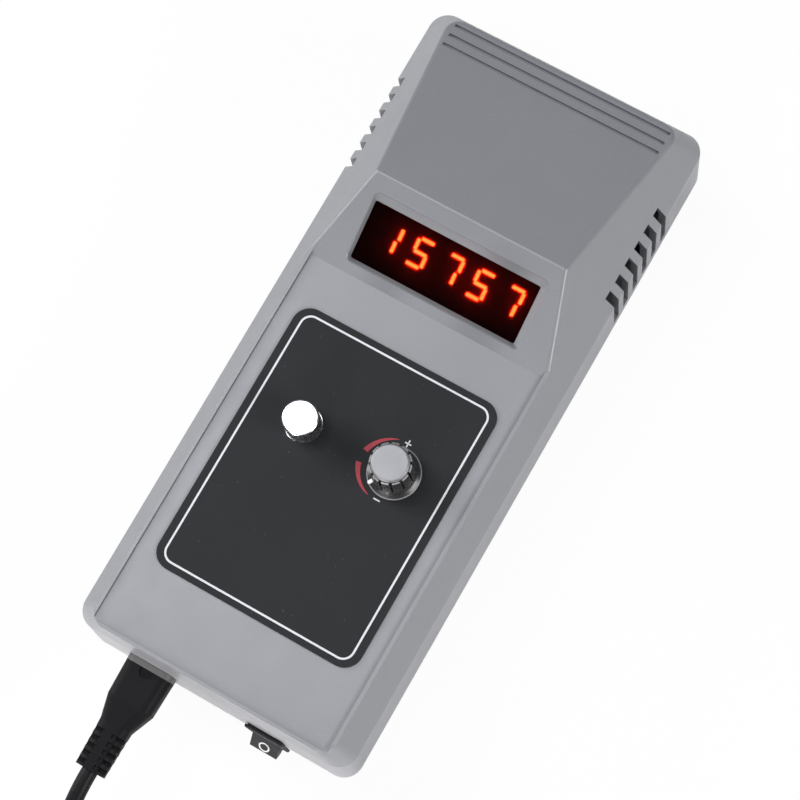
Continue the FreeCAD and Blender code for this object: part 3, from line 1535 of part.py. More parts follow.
node(group("board_screws_group", board_screws), "board_screws")

transformer_middle = (size("transformer_offset"), board_start + size("transformer_place"),
                      board_high + size("transformer_height") / 2)
bobbin = centred_block(
    "transformer_bobbin", transformer_middle,
    (size("transformer_width") - size("transformer_core"), size("transformer_length"),
     size("transformer_height") - size("bobbin_drop")))
core = centred_block(
    "transformer_core_block", transformer_middle,
    (size("transformer_width"), size("transformer_length") - size("core_set_in"),
     size("transformer_height")))
node(fuse("transformer_fused", [bobbin, core]), "mains_transformer")
node(rod("capacitor_can", size("capacitor_diameter"), size("capacitor_length"),
         (size("capacitor_offset") - size("capacitor_length") / 2, board_end - size("capacitor_place"),
          board_high + size("capacitor_diameter") / 2), ALONG_X), "storage_capacitor")
node(rod("trigger_can", size("trigger_diameter"), size("trigger_length"),
         (size("trigger_offset"), board_end - size("trigger_place"), board_high)), "trigger_coil")
node(centred_block("chip_block", (size("chip_offset"), board_start + size("chip_place"),
                                  board_high + size("chip_height") / 2),
                   (size("chip_width"), size("chip_length"), size("chip_height"))), "controller_chip")
fuse_y = board_start + size("fuse_place")
fuse_x = size("fuse_offset")
fuse_z = board_high + size("fuse_diameter") / 2 + size("fuse_clip_wall")
node(rod("fuse_glass", size("fuse_diameter"), size("fuse_length"),
         (fuse_x, fuse_y - size("fuse_length") / 2, fuse_z), ALONG_Y), "fuse")
clips = []
for side in (-1, 1):
    tag = "low" if side < 0 else "high"
    y = fuse_y + (size("fuse_length") - size("fuse_clip_width")) / 2 * side
    body = centred_block(
        "fuse_clip_block_" + tag, (fuse_x, y, (board_high + fuse_z) / 2),
        (size("fuse_diameter") + size("fuse_clip_wall") * 2, size("fuse_clip_width"), fuse_z - board_high))
    way = rod("fuse_way_" + tag, size("fuse_diameter") + size("fuse_clip_fit") * 2, margin,
              (fuse_x, y - 15, fuse_z), ALONG_Y)
    clips.append(cut("fuse_clip_" + tag, body, [way]))
node(group("fuse_clips_group", clips), "fuse_clips")

# The two halves of the case, with every hole that their pieces need

switch_hole = block(
    "switch_hole",
    (rocker_x - size("barrel_width") / 2 - size("panel_fit"), low_end - margin,
     rocker_z - size("barrel_length") / 2 - size("panel_fit")),
    (rocker_x + size("barrel_width") / 2 + size("panel_fit"), low_end + margin / 3,
     rocker_z + size("barrel_length") / 2 + size("panel_fit")))
inlet_hole_body = new_body("inlet_hole")
inlet_hole_sketch = sketch_on(inlet_hole_body, "inlet_hole_outline", "XZ_Plane", margin / 2)
inlet_hole_half = size("inlet_width") / 2 + size("panel_fit")
inlet_hole_high = size("inlet_height") / 2 + size("panel_fit")
rounded_rectangle(inlet_hole_sketch, -inlet_hole_half, inlet_hole_half, -inlet_hole_high,
                  inlet_hole_high, size("relief_radius") + size("panel_fit"))
pad(inlet_hole_body, "inlet_hole_pad", inlet_hole_sketch, margin, reverse=True)
place(inlet_hole_body, (inlet_x, low_end, inlet_z))
frame_seat_body = new_body("frame_seat")
frame_seat_sketch = sketch_on(frame_seat_body, "frame_seat_outline", "XZ_Plane")
frame_seat_half = size("bezel_frame_width") / 2 + size("frame_clearance")
frame_seat_high = size("bezel_frame_height") / 2 + size("frame_clearance")
rounded_rectangle(frame_seat_sketch, -frame_seat_half, frame_seat_half, -frame_seat_high,
                  frame_seat_high, size("frame_radius") + size("frame_clearance"))
pad(frame_seat_body, "frame_seat_pad", frame_seat_sketch, margin, reverse=True)
place(frame_seat_body, (ZERO, frame_y, lamp_z))
lamp_hole_body = new_body("lamp_hole")
lamp_hole_sketch = sketch_on(lamp_hole_body, "lamp_hole_outline", "XZ_Plane", margin / 3)
lamp_hole_half = size("sleeve_width") / 2 + size("sleeve_clearance")
lamp_hole_high = size("sleeve_height") / 2 + size("sleeve_clearance")
rounded_rectangle(lamp_hole_sketch, -lamp_hole_half, lamp_hole_half, -lamp_hole_high,
                  lamp_hole_high, size("sleeve_radius") + size("sleeve_clearance"))
pad(lamp_hole_body, "lamp_hole_pad", lamp_hole_sketch, margin, reverse=True)
place(lamp_hole_body, (ZERO, far_end, lamp_z))

upper_air = cut("upper_air", upper_hollow, pillar_tops + display_posts + control_posts)
upper_shell = cut("upper_shell_cut", upper_solid, [
    recess, upper_air, vent_tool, opening, button_hole, bush_hole, inlet_hole_body, switch_hole,
    lamp_hole_body, frame_seat_body] + pilot_holes + display_pilots + control_pilots + bar_grooves)
node(upper_shell, "upper_shell")

back_air = cut("back_air", back_inner, pillar_feet + main_posts)
lower_shell = cut("lower_shell_cut", back_outer, [
    back_air, switch_hole, lamp_hole_body, frame_seat_body] + screw_ways + main_pilots)
node(lower_shell, "lower_shell")
node(group("case_screws_group", case_screws), "case_screws")

# Check and write every sub-part

doc.recompute()
for item in doc.Objects:
    if "Invalid" in item.State or "Error" in item.State:
        raise RuntimeError("failed: %s %s" % (item.Name, item.State))
for item in NODES:
    if item.Shape.isNull() or not item.Shape.isValid() or not item.Shape.Solids:
        raise RuntimeError("bad shape: %s" % item.Label)
for item in NODES:
    item.Shape.exportStep("parts/%s.step" % item.Label)
    print("%-20s solids %2d volume %9.1f" % (item.Label, len(item.Shape.Solids), item.Shape.Volume))
print("nodes", len(NODES))
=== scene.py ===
import bpy
import bmesh
import math
from mathutils import Matrix, Vector


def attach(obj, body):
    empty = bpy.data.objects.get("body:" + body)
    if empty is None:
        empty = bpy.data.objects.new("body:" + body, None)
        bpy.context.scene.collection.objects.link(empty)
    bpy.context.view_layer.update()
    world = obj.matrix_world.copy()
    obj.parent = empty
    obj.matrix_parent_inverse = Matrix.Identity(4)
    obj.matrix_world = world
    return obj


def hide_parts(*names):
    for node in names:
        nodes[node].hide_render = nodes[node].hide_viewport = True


# A hand-held xenon stroboscope lying on its back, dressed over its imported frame.
# A name that ends in _MM holds millimetres. All other lengths are in metres, as Blender's are.

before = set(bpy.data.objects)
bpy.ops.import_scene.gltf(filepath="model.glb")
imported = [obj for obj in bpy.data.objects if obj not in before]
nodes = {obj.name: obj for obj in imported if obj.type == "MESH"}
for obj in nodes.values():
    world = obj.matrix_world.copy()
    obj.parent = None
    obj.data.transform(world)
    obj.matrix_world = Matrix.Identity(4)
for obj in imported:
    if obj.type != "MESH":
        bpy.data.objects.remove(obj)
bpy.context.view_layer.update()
MM = 0.001


def metres(*values):
    """Millimetres to a vector in metres."""
    return Vector(values) * MM


# The camera, as fitted to the case's edges in the photograph

CAMERA_MM = (135.06, -119.61, 723.95)
CAMERA_RIGHT = Vector((0.86349, 0.49782, -0.08100))
CAMERA_DOWN = Vector((0.46915, -0.85173, -0.23333))
CAMERA_AHEAD = Vector((-0.18515, 0.16348, -0.96902))
CAMERA_REACH = 20
LENS_MM = 110.5
SENSOR_MM = 36.0


def make_camera():
    camera = bpy.data.objects.new("camera", bpy.data.cameras.new("camera"))
    bpy.context.scene.collection.objects.link(camera)
    camera.data.lens = LENS_MM
    camera.data.sensor_width = SENSOR_MM
    camera.data.clip_end = CAMERA_REACH
    columns = (CAMERA_RIGHT, -CAMERA_DOWN, -CAMERA_AHEAD)
    turn = Matrix([[columns[c][r] for c in range(3)] for r in range(3)])
    camera.matrix_world = Matrix.Translation(metres(*CAMERA_MM)) @ turn.to_4x4()
    bpy.context.scene.camera = camera


# Materials: each is made of nodes laid out in the object's own coordinates

NOISE_LOW = 0.3             # nearly all of a noise lies between these two
NOISE_HIGH = 0.7
NONE = (0, 0, 0)
FULL = (1, 1, 1)
NORMAL_SAMPLES = 6          # of the nodes that look round themselves
# Painted shade in corners and recesses, from an ambient-occlusion mask
CORNER_SHADE_REACH_MM = 4.0
CORNER_SHADE_TINT = (0.62, 0.60, 0.60)
CORNER_SHADE_FULL = 0.35           # how open a corner is where the painted shade is darkest, and where it ends
CORNER_SHADE_END = 0.85


class Maker:
    """One material and short ways to add nodes to it."""

    def __init__(self, name):
        self.material = bpy.data.materials.new(name)
        self.material.use_nodes = True
        self.tree = self.material.node_tree
        self.shader = self.tree.nodes["Principled BSDF"]
        self.place = self.tree.nodes.new("ShaderNodeTexCoord")

    def node(self, kind, **values):
        made = self.tree.nodes.new(kind)
        for key, value in values.items():
            setattr(made, key, value)
        return made

    def link(self, source, target):
        self.tree.links.new(source, target)

    def set(self, **values):
        """Sets the shader's own sockets, with _ for a space in their names."""
        for key, value in values.items():
            self.shader.inputs[key.replace("_", " ")].default_value = value

    def feed(self, **sources):
        """Links the shader's own sockets, with _ for a space in their names."""
        for key, source in sources.items():
            self.link(source, self.shader.inputs[key.replace("_", " ")])

    def noise(self, scale, detail, roughness, stretch=(1, 1, 1)):
        """Noise with features of about 1 / scale metres."""
        mapping = self.node("ShaderNodeMapping")
        mapping.inputs["Scale"].default_value = stretch
        self.link(self.place.outputs["Object"], mapping.inputs["Vector"])
        texture = self.node("ShaderNodeTexNoise")
        texture.inputs["Scale"].default_value = scale
        texture.inputs["Detail"].default_value = detail
        texture.inputs["Roughness"].default_value = roughness
        self.link(mapping.outputs["Vector"], texture.inputs["Vector"])
        return texture.outputs["Fac"]

    def ramp(self, factor, start, first, end, second):
        """Goes from the first colour at start to the second at end."""
        ramp = self.node("ShaderNodeValToRGB")
        elements = ramp.color_ramp.elements
        for element, position, colour in zip(elements, (start, end), (first, second)):
            element.position = position
            element.color = (*colour, 1)
        self.link(factor, ramp.inputs["Fac"])
        return ramp.outputs["Color"]

    def mottle(self, factor, colour, low, high, start=NOISE_LOW, end=NOISE_HIGH):
        """Goes from low times a colour to high times it."""
        return self.ramp(factor, start, shade(colour, low), end, shade(colour, high))

    def mix(self, factor, first, second, blend="MIX"):
        """Mixes two colours, each a socket or a plain colour."""
        mixer = self.node("ShaderNodeMix", data_type="RGBA", blend_type=blend)
        sockets = [socket for socket in mixer.inputs if socket.type == "RGBA"]
        for socket, value in zip(sockets, (first, second)):
            if isinstance(value, tuple):
                socket.default_value = (*value, 1)
            else:
                self.link(value, socket)
        if isinstance(factor, float):
            mixer.inputs[0].default_value = factor
        else:
            self.link(factor, mixer.inputs[0])
        return [socket for socket in mixer.outputs if socket.type == "RGBA"][0]

    def speckle(self, tint, factor, start, end, strength, colour):
        """Adds specks of a colour to a tint, where the factor is over start to end."""
        mask = self.ramp(factor, start, NONE, end, FULL)
        return self.mix(self.mix(strength, NONE, mask), tint, colour)

    def soften_edges(self, radius_mm):
        """Rounds the look of sharp edges, so that they catch light."""
        rounder = self.node("ShaderNodeBevel", samples=NORMAL_SAMPLES)
        rounder.inputs["Radius"].default_value = radius_mm * MM
        self.feed(Normal=rounder.outputs["Normal"])

    def paint_corner_shade(self, tint):
        """Painted shade: darkens a colour in corners and recesses a few millimetres wide."""
        hollow = self.node("ShaderNodeAmbientOcclusion", samples=NORMAL_SAMPLES)
        hollow.inputs["Distance"].default_value = CORNER_SHADE_REACH_MM * MM
        corner_shade_ramp = self.ramp(hollow.outputs["AO"], CORNER_SHADE_FULL, CORNER_SHADE_TINT, CORNER_SHADE_END, FULL)
        return self.mix(1.0, tint, corner_shade_ramp, "MULTIPLY")

    def spread(self, factor, low, high):
        """Carries a noise over to low to high."""
        ranger = self.node("ShaderNodeMapRange")
        ranger.inputs["From Min"].default_value = NOISE_LOW
        ranger.inputs["From Max"].default_value = NOISE_HIGH
        ranger.inputs["To Min"].default_value = low
        ranger.inputs["To Max"].default_value = high
        self.link(factor, ranger.inputs["Value"])
        return ranger.outputs["Result"]

    def bump(self, height, depth_mm):
        """Bumps up to depth_mm high, on top of any bump made before."""
        bump = self.node("ShaderNodeBump")
        bump.inputs["Distance"].default_value = depth_mm * MM
        bump.inputs["Strength"].default_value = 1.0
        self.link(height, bump.inputs["Height"])
        normal = self.shader.inputs["Normal"]
        if normal.is_linked:
            self.link(normal.links[0].from_socket, bump.inputs["Normal"])
        self.feed(Normal=bump.outputs["Normal"])


def shade(colour, amount):
    """A colour made lighter or darker by a factor."""
    return tuple(min(1.0, value * amount) for value in colour)


def plastic(name, colour, rough=0.5, grain_mm=0.35, grain_depth_mm=0.012, specular=0.5,
            edge_mm=0.0):
    """Moulded plastic: fine spark-eroded grain, faint blotches and a few duller spots."""
    maker = Maker(name)
    if edge_mm:
        maker.soften_edges(edge_mm)
    blotches = maker.noise(45, detail=4, roughness=0.6)
    fine = maker.noise(1 / (grain_mm * MM), detail=2, roughness=0.6)
    rubbed = maker.noise(160, detail=3, roughness=0.7)
    tint = maker.mix(0.5, maker.mottle(blotches, colour, 0.95, 1.05),
                     maker.mottle(fine, colour, 0.93, 1.07))
    maker.feed(Base_Color=tint, Roughness=maker.spread(rubbed, rough - 0.05, rough + 0.06))
    maker.set(Specular_IOR_Level=specular)
    maker.bump(fine, grain_depth_mm)
    return maker.material


def paint(name, colour, rough=0.5):
    """A thin, even coat, such as screen print."""
    return plastic(name, colour, rough, grain_mm=0.2, grain_depth_mm=0.004)


def metal(name, colour, rough, scratch=(1, 1, 40), depth_mm=0.004):
    """Plated or turned metal with fine directional marks."""
    maker = Maker(name)
    marks = maker.noise(900, detail=3, roughness=0.6, stretch=scratch)
    maker.feed(Base_Color=maker.mottle(marks, colour, 0.9, 1.06),
               Roughness=maker.spread(marks, max(0.02, rough - 0.08), rough + 0.08))
    maker.set(Metallic=1.0)
    maker.bump(marks, depth_mm)
    return maker.material


def clear(name, colour):
    """Clear glass or plastic with faint dust."""
    maker = Maker(name)
    dust = maker.noise(700, detail=4, roughness=0.7)
    maker.feed(Base_Color=maker.mottle(dust, colour, 1.0, 0.93, 0.4, 0.8),
               Roughness=maker.spread(dust, 0.03, 0.08))
    maker.set(Transmission_Weight=1.0, IOR=1.49)
    return maker.material


def case_plastic(name, colour):
    """The case's grey moulding: matt grain, a broad sheen, specks of lint, painted shade in
    corners.
    """
    maker = Maker(name)
    blotches = maker.noise(30, detail=5, roughness=0.55)
    fine = maker.noise(2600, detail=2, roughness=0.55)
    lint = maker.noise(1500, detail=1, roughness=0.4)
    rubbed = maker.noise(120, detail=4, roughness=0.7)
    ripple = maker.noise(60, detail=2, roughness=0.5)
    tint = maker.mix(0.6, maker.mottle(blotches, colour, 0.97, 1.03),
                     maker.mottle(fine, colour, 0.93, 1.07))
    tint = maker.speckle(tint, lint, 0.72, 0.76, 0.2, shade(colour, 1.4))
    # The base colour carries painted shade in corners and recesses.
    maker.feed(Base_Color=maker.paint_corner_shade(tint), Roughness=maker.spread(rubbed, 0.30, 0.38))
    maker.set(Specular_IOR_Level=0.7)
    maker.bump(fine, 0.012)
    maker.bump(ripple, 0.02)
    return maker.material


def label_film(name, colour):
    """The dark panel film: matt, with a fine leather-like emboss and a little dust."""
    maker = Maker(name)
    fine = maker.noise(3200, detail=2, roughness=0.6)
    broad = maker.noise(25, detail=4, roughness=0.6)
    dust = maker.noise(1100, detail=1, roughness=0.3)
    tint = maker.mix(0.35, maker.mottle(fine, colour, 0.7, 1.35, 0.3, 0.72),
                     maker.mottle(broad, colour, 0.85, 1.2, 0.35, 0.65))
    tint = maker.speckle(tint, dust, 0.785, 0.80, 0.35, (0.12, 0.12, 0.125))
    maker.feed(Base_Color=tint, Roughness=maker.spread(fine, 0.55, 0.70))
    maker.set(Specular_IOR_Level=0.2)
    maker.bump(fine, 0.018)
    return maker.material


def satin(name, colour, rough):
    """Soft silver paint: fine grain, and broad, faint clouds that are a painted soft reflection.
    """
    maker = Maker(name)
    fine = maker.noise(2400, detail=2, roughness=0.5)
    broad = maker.noise(90, detail=2, roughness=0.4)
    # The broad clouds are a painted soft reflection across the cap.
    tint = maker.mix(0.6, maker.mottle(fine, colour, 0.96, 1.04),
                     maker.mottle(broad, colour, 0.84, 1.16))
    maker.feed(Base_Color=tint, Roughness=maker.spread(fine, rough - 0.04, rough + 0.04))
    maker.set(Metallic=0.55)
    maker.bump(fine, 0.003)
    return maker.material


def glow(name, colour, core, strength):
    """A lit bar of a digit: its light goes from its own colour to that of its core."""
    maker = Maker(name)
    uneven = maker.noise(900, detail=2, roughness=0.5)
    warm = maker.ramp(uneven, NOISE_LOW, colour, NOISE_HIGH, core)
    maker.feed(Base_Color=warm, Emission_Color=warm)
    maker.set(Emission_Strength=strength, Roughness=0.4)
    return maker.material


def dark_filter(name):
    """The display's dark red window: it shows the lit bars, with a red haze round each."""
    maker = Maker(name)
    smear = maker.noise(60, detail=3, roughness=0.6)
    tint = maker.ramp(smear, NOISE_LOW, (0.100, 0.050, 0.050), NOISE_HIGH, (0.108, 0.056, 0.056))
    maker.feed(Base_Color=tint, Roughness=maker.spread(smear, 0.03, 0.07))
    maker.set(Transmission_Weight=1.0, IOR=1.3)
    haze = maker.node("ShaderNodeBsdfRefraction")
    haze.inputs["Color"].default_value = (1.0, 0.03, 0.004, 1)
    haze.inputs["Roughness"].default_value = 0.9
    haze.inputs["IOR"].default_value = 1.45
    blend = maker.node("ShaderNodeMixShader")
    blend.inputs["Fac"].default_value = 0.28
    maker.link(maker.shader.outputs["BSDF"], blend.inputs[1])
    maker.link(haze.outputs["BSDF"], blend.inputs[2])
    output = maker.tree.nodes["Material Output"]
    maker.link(blend.outputs["Shader"], output.inputs["Surface"])
    return maker.material


# The nodes of the frame, dressed group by group

CASE_GREY = (0.240, 0.246, 0.262)
BACK_SHADE = 0.95
BLACK_RUBBER = (0.008, 0.008, 0.009)
DIGITS = ["digit_module_%d" % place for place in range(1, 6)]


def put(material, *names):
    """Gives nodes a material."""
    for name in names:
        data = nodes[name].data
        data.materials.clear()
        data.materials.append(material)


def dress_case():
    put(case_plastic("case_grey", CASE_GREY), "upper_shell")
    put(case_plastic("back_grey", shade(CASE_GREY, BACK_SHADE)), "lower_shell")
    put(label_film("panel_film", (0.021, 0.022, 0.024)), "panel_label")
    put(metal("zinc_screws", (0.62, 0.62, 0.64), rough=0.35),
        "case_screws", "board_screws", "control_screws", "display_screws",
        "tube_clips", "pot_body", "pot_nut")


def dress_button():
    chrome = metal("bright_chrome", (0.80, 0.80, 0.81), rough=0.24, scratch=(1, 1, 6),
                   depth_mm=0.001)
    put(chrome, "button_cap")
    put(plastic("stem_white", (0.7, 0.7, 0.68)), "button_stem")


def dress_knob():
    black = plastic("knob_black", (0.030, 0.029, 0.030), rough=0.26, grain_mm=0.5,
                    grain_depth_mm=0.006, specular=0.7, edge_mm=0.3)
    put(black, "knob_skirt")
    put(satin("knob_silver", (0.30, 0.30, 0.307), rough=0.42), "knob_cap")
    put(plastic("pointer_white", (0.86, 0.86, 0.85)), "knob_pointer")
    put(metal("turned_shaft", (0.66, 0.66, 0.66), rough=0.3), "pot_shaft")


def dress_switches():
    put(plastic("switch_black", (0.012, 0.012, 0.013), specular=0.2),
        "switch_housing", "push_switch")
    put(plastic("rocker_black", (0.018, 0.018, 0.020), rough=0.4, grain_mm=0.5,
                grain_depth_mm=0.006, specular=0.12), "rocker")


def dress_lead():
    put(plastic("inlet_grey", (0.13, 0.128, 0.126)), "power_inlet")
    rubber = plastic("connector_rubber", BLACK_RUBBER, grain_mm=0.3, grain_depth_mm=0.015,
                     specular=0.1)
    put(rubber, "power_connector", "connector_relief", "plug_relief", "mains_plug")
    put(metal("contact_brass", (0.72, 0.58, 0.32), rough=0.3),
        "switch_terminals", "inlet_pins", "plug_pins", "fuse_clips", "tube_caps")


def dress_display():
    put(plastic("digit_black", (0.005, 0.004, 0.004), specular=0.2), *DIGITS)
    put(glow("digit_glow", (1.0, 0.44, 0.075), (1.0, 0.52, 0.10), 30.0), "lit_segments")
    put(dark_filter("display_filter_dark"), "display_filter")


def dress_lamp():
    put(plastic("lamp_frame_black", (0.025, 0.025, 0.027), rough=0.4), "lamp_bezel")
    put(clear("lamp_window_clear", (0.96, 0.98, 0.98)), "lamp_window")
    put(metal("mirror_bright", (0.9, 0.9, 0.91), rough=0.06, scratch=(1, 1, 1), depth_mm=0.001),
        "reflector")
    put(clear("tube_clear", (0.95, 0.96, 1.0)), "xenon_tube", "fuse")


def dress_boards():
    put(plastic("board_green", (0.02, 0.11, 0.045), rough=0.35, grain_mm=0.6),
        "main_board", "control_board", "display_board")
    put(metal("core_steel", (0.30, 0.30, 0.31), rough=0.5), "mains_transformer")
    put(plastic("can_blue", (0.03, 0.05, 0.12), rough=0.3), "storage_capacitor")
    put(plastic("coil_brown", (0.18, 0.09, 0.03), rough=0.4), "trigger_coil")
    put(plastic("chip_black", (0.02, 0.02, 0.02)), "controller_chip")


# Thin bands: print on the panel film, marks on the rocker and painted highlights on the knob


def band(name, rows, material, body, closed):
    """A thin solid strip between four long edges, each a row of points in millimetres."""
    work = bmesh.new()
    rings = [[work.verts.new(metres(*point)) for point in row] for row in rows]
    count = len(rings[0])
    for ring, following in zip(rings, rings[1:] + rings[:1]):
        for step in range(count if closed else count - 1):
            ahead = (step + 1) % count
            work.faces.new((ring[step], ring[ahead], following[ahead], following[step]))
    if not closed:
        work.faces.new([ring[0] for ring in rings])
        work.faces.new([ring[-1] for ring in reversed(rings)])
    bmesh.ops.recalc_face_normals(work, faces=work.faces)
    mesh = bpy.data.meshes.new(name)
    work.to_mesh(mesh)
    work.free()
    piece = bpy.data.objects.new(name, mesh)
    bpy.context.scene.collection.objects.link(piece)
    mesh.materials.append(material)
    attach(piece, body)


LABEL_TOP_MM = 49.0
INK_LOW_MM = LABEL_TOP_MM - 0.02
INK_HIGH_MM = LABEL_TOP_MM + 0.02


def print_band(name, ink, inner, outer, closed=False):
    """A flat strip of ink on the film between two rows of (x, y)."""
    edges = ((inner, INK_LOW_MM), (outer, INK_LOW_MM), (outer, INK_HIGH_MM), (inner, INK_HIGH_MM))
    rows = [[(x, y, level) for x, y in row] for row, level in edges]
    band(name, rows, ink, "case", closed)


CORNER_STEPS = 8


def rounded_outline(left, right, low, high, radius):
    """Points round a rectangle with round corners."""
    middles = ((right - radius, high - radius), (left + radius, high - radius),
               (left + radius, low + radius), (right - radius, low + radius))
    points = []
    for corner, (x, y) in enumerate(middles):
        for step in range(CORNER_STEPS + 1):
            turn = math.pi / 2 * (corner + step / CORNER_STEPS)
            points.append((x + radius * math.cos(turn), y + radius * math.sin(turn)))
    return points


BORDER_LEFT_MM = -30.7
BORDER_RIGHT_MM = 31.1
BORDER_LOW_MM = -78.0
BORDER_HIGH_MM = 3.95
BORDER_RADIUS_MM = 3.6
BORDER_WIDTH_MM = 0.6


def border_outline(inset):
    """The border's outline, this far inside its outer edge."""
    return rounded_outline(BORDER_LEFT_MM + inset, BORDER_RIGHT_MM - inset,
                           BORDER_LOW_MM + inset, BORDER_HIGH_MM - inset,
                           BORDER_RADIUS_MM - inset)


def print_border(ink):
    """The white line near the film's edge."""
    print_band("label_border", ink, border_outline(BORDER_WIDTH_MM), border_outline(0.0), True)


KNOB_MM = (15.4, -25.0)
ARC_STEPS = 28
ARC_WIDTH_MM = 1.5
ARC_TIP_MM = 0.06
ARC_TAPER = 0.8
ARC_RADIUS_MM = 10.75


def round_knob(reach, bearing):
    """A place at this reach and bearing from the knob's axis."""
    return (KNOB_MM[0] + reach * math.cos(bearing), KNOB_MM[1] + reach * math.sin(bearing))


def print_arc(name, ink, start, end, end_radius_mm):
    """A tapering arc round the knob: wide at start, a point at end, bearings in degrees."""
    inner, outer = [], []
    for step in range(ARC_STEPS + 1):
        along = step / ARC_STEPS
        bearing = math.radians(start + (end - start) * along)
        radius = ARC_RADIUS_MM + (end_radius_mm - ARC_RADIUS_MM) * along
        half = ARC_WIDTH_MM / 2 * (1 - along) ** ARC_TAPER + ARC_TIP_MM
        inner.append(round_knob(radius - half, bearing))
        outer.append(round_knob(radius + half, bearing))
    print_band(name, ink, inner, outer)


MORE_SIGN_MM = (14.5, -15.66)
MORE_LENGTH_MM = 2.0
MORE_STUB_MM = 0.9          # the upright is two stubs, so that no ink lies twice
MORE_STUB_SHIFTS_MM = (0.71, -0.71)
LESS_SIGN_MM = (14.7, -33.95)
LESS_LENGTH_MM = 2.1
SIGN_STROKE_MM = 0.42


def print_bar(name, ink, middle, length, width):
    """A printed block, length along x and width along y."""
    ends = (middle[0] - length / 2, middle[0] + length / 2)
    inner = [(x, middle[1] - width / 2) for x in ends]
    outer = [(x, middle[1] + width / 2) for x in ends]
    print_band(name, ink, inner, outer)


def print_dial(red, white):
    """Two red arrows round the knob, and the signs that say which way is more and less."""
    print_arc("dial_arc_more", red, 170.0, 112.0, 9.9)
    print_arc("dial_arc_less", red, 190.0, 248.0, 9.5)
    print_bar("sign_more_level", white, MORE_SIGN_MM, MORE_LENGTH_MM, SIGN_STROKE_MM)
    for letter, shift in zip("ab", MORE_STUB_SHIFTS_MM):
        middle = (MORE_SIGN_MM[0], MORE_SIGN_MM[1] + shift)
        print_bar("sign_more_upright_" + letter, white, middle, SIGN_STROKE_MM, MORE_STUB_MM)
    print_bar("sign_less", white, LESS_SIGN_MM, LESS_LENGTH_MM, SIGN_STROKE_MM)


# Painted highlights on the knob: a light band on the skirt's rim, and one on the top corner of
# each rib

KNOB_RIBS = 12
RIB_GAP_DEG = 4.5           # from the middle of a groove to the worn corner beside it
SKIRT_RIM_MM = ((7.86, 50.20), (7.52, 50.40))
RIB_CORNER_MM = ((6.06, 62.58), (5.66, 62.99))
EDGE_SUNK_MM = -0.03
EDGE_PROUD_MM = 0.02
EDGE_STEP_DEG = 3
EDGE_LEAST_STEPS = 6


def knob_band(name, material, start, end, edge):
    """A band round the knob between two (radius, height) rows, bearings in degrees."""
    steps = max(EDGE_LEAST_STEPS, round((end - start) / EDGE_STEP_DEG))
    bearings = [math.radians(start + (end - start) * step / steps) for step in range(steps + 1)]
    lower, upper = edge
    rows = []
    for (radius, level), lift in ((lower, EDGE_SUNK_MM), (upper, EDGE_SUNK_MM),
                                  (upper, EDGE_PROUD_MM), (lower, EDGE_PROUD_MM)):
        rows.append([(*round_knob(radius + lift, turn), level + lift) for turn in bearings])
    band(name, rows, material, "knob", False)


def paint_knob_highlights(rim, corner):
    """Painted highlights: the rim's band, and a band for each rib. The rim's ends all but meet.
    """
    knob_band("knob_rim", rim, 0.0, 359.9, SKIRT_RIM_MM)
    pitch = 360 / KNOB_RIBS
    for rib in range(KNOB_RIBS):
        knob_band("knob_corner_%d" % rib, corner, pitch * rib + RIB_GAP_DEG,
                  pitch * (rib + 1) - RIB_GAP_DEG, RIB_CORNER_MM)


# Marks on the rocker's two sloped faces: a line for on, a ring for off

ROCKER_PIVOT_MM = Vector((16.7, -104.0, 18.5))
ROCKER_REST_TURN = math.radians(-15.0)
ROCKER_FRONT_MM = 2.5
ROCKER_SLOPE = 0.265
MARK_SUNK_MM = -0.02
MARK_PROUD_MM = 0.03
MARK_UP_MM = 4.3
OVAL_STEPS = 32


def rocker_point(across, up, proud):
    """A point on the rocker's front: across and up from its middle, and proud of it."""
    front = Vector((across, -ROCKER_FRONT_MM - abs(up) * ROCKER_SLOPE - proud, up))
    return ROCKER_PIVOT_MM + Matrix.Rotation(ROCKER_REST_TURN, 3, "X") @ front


def oval(middle_up, wide, tall):
    """Points round an oval, given by its full width and height."""
    turns = [2 * math.pi * step / OVAL_STEPS for step in range(OVAL_STEPS)]
    return [(wide / 2 * math.cos(turn), middle_up + tall / 2 * math.sin(turn)) for turn in turns]


def mark_on_rocker(name, ink, inner, outer):
    """A closed band on the rocker between two rows of (across, up)."""
    edges = ((inner, MARK_SUNK_MM), (outer, MARK_SUNK_MM),
             (outer, MARK_PROUD_MM), (inner, MARK_PROUD_MM))
    rows = [[rocker_point(across, up, proud) for across, up in row] for row, proud in edges]
    band(name, rows, ink, "rocker_lever", True)


def mark_rocker(ink):
    """The ring on the lower face, and the line, a very thin ring, on the upper one."""
    mark_on_rocker("rocker_ring", ink, oval(-MARK_UP_MM, 2.6, 3.1), oval(-MARK_UP_MM, 3.6, 4.1))
    mark_on_rocker("rocker_line", ink, oval(MARK_UP_MM, 0.02, 2.9), oval(MARK_UP_MM, 0.55, 3.6))


# The cord: its route lies along these points, then winds into a flat coil of two layers

CORD_D_MM = 5.0
EXIT_MM = (-20.8, -139.0, 30.4)
COIL_START_MM = (-14.5, -206.0, 2.5)
ROUTE_MM = [
    EXIT_MM,
    (EXIT_MM[0], EXIT_MM[1] - 9.0, EXIT_MM[2]),
    (EXIT_MM[0] + 2.0, EXIT_MM[1] - 20.0, EXIT_MM[2] - 3.2),
    (EXIT_MM[0] + 4.0, EXIT_MM[1] - 32.0, EXIT_MM[2] - 12.0),
    (EXIT_MM[0] + 5.3, EXIT_MM[1] - 44.0, EXIT_MM[2] - 23.5),
    (COIL_START_MM[0], EXIT_MM[1] - 56.5, CORD_D_MM / 2),
    COIL_START_MM,
]
TURN_PITCH_MM = 5.5
INNER_TURN_MM = 19.0
HALF_TURNS = 7
POINTS_PER_HALF = 8


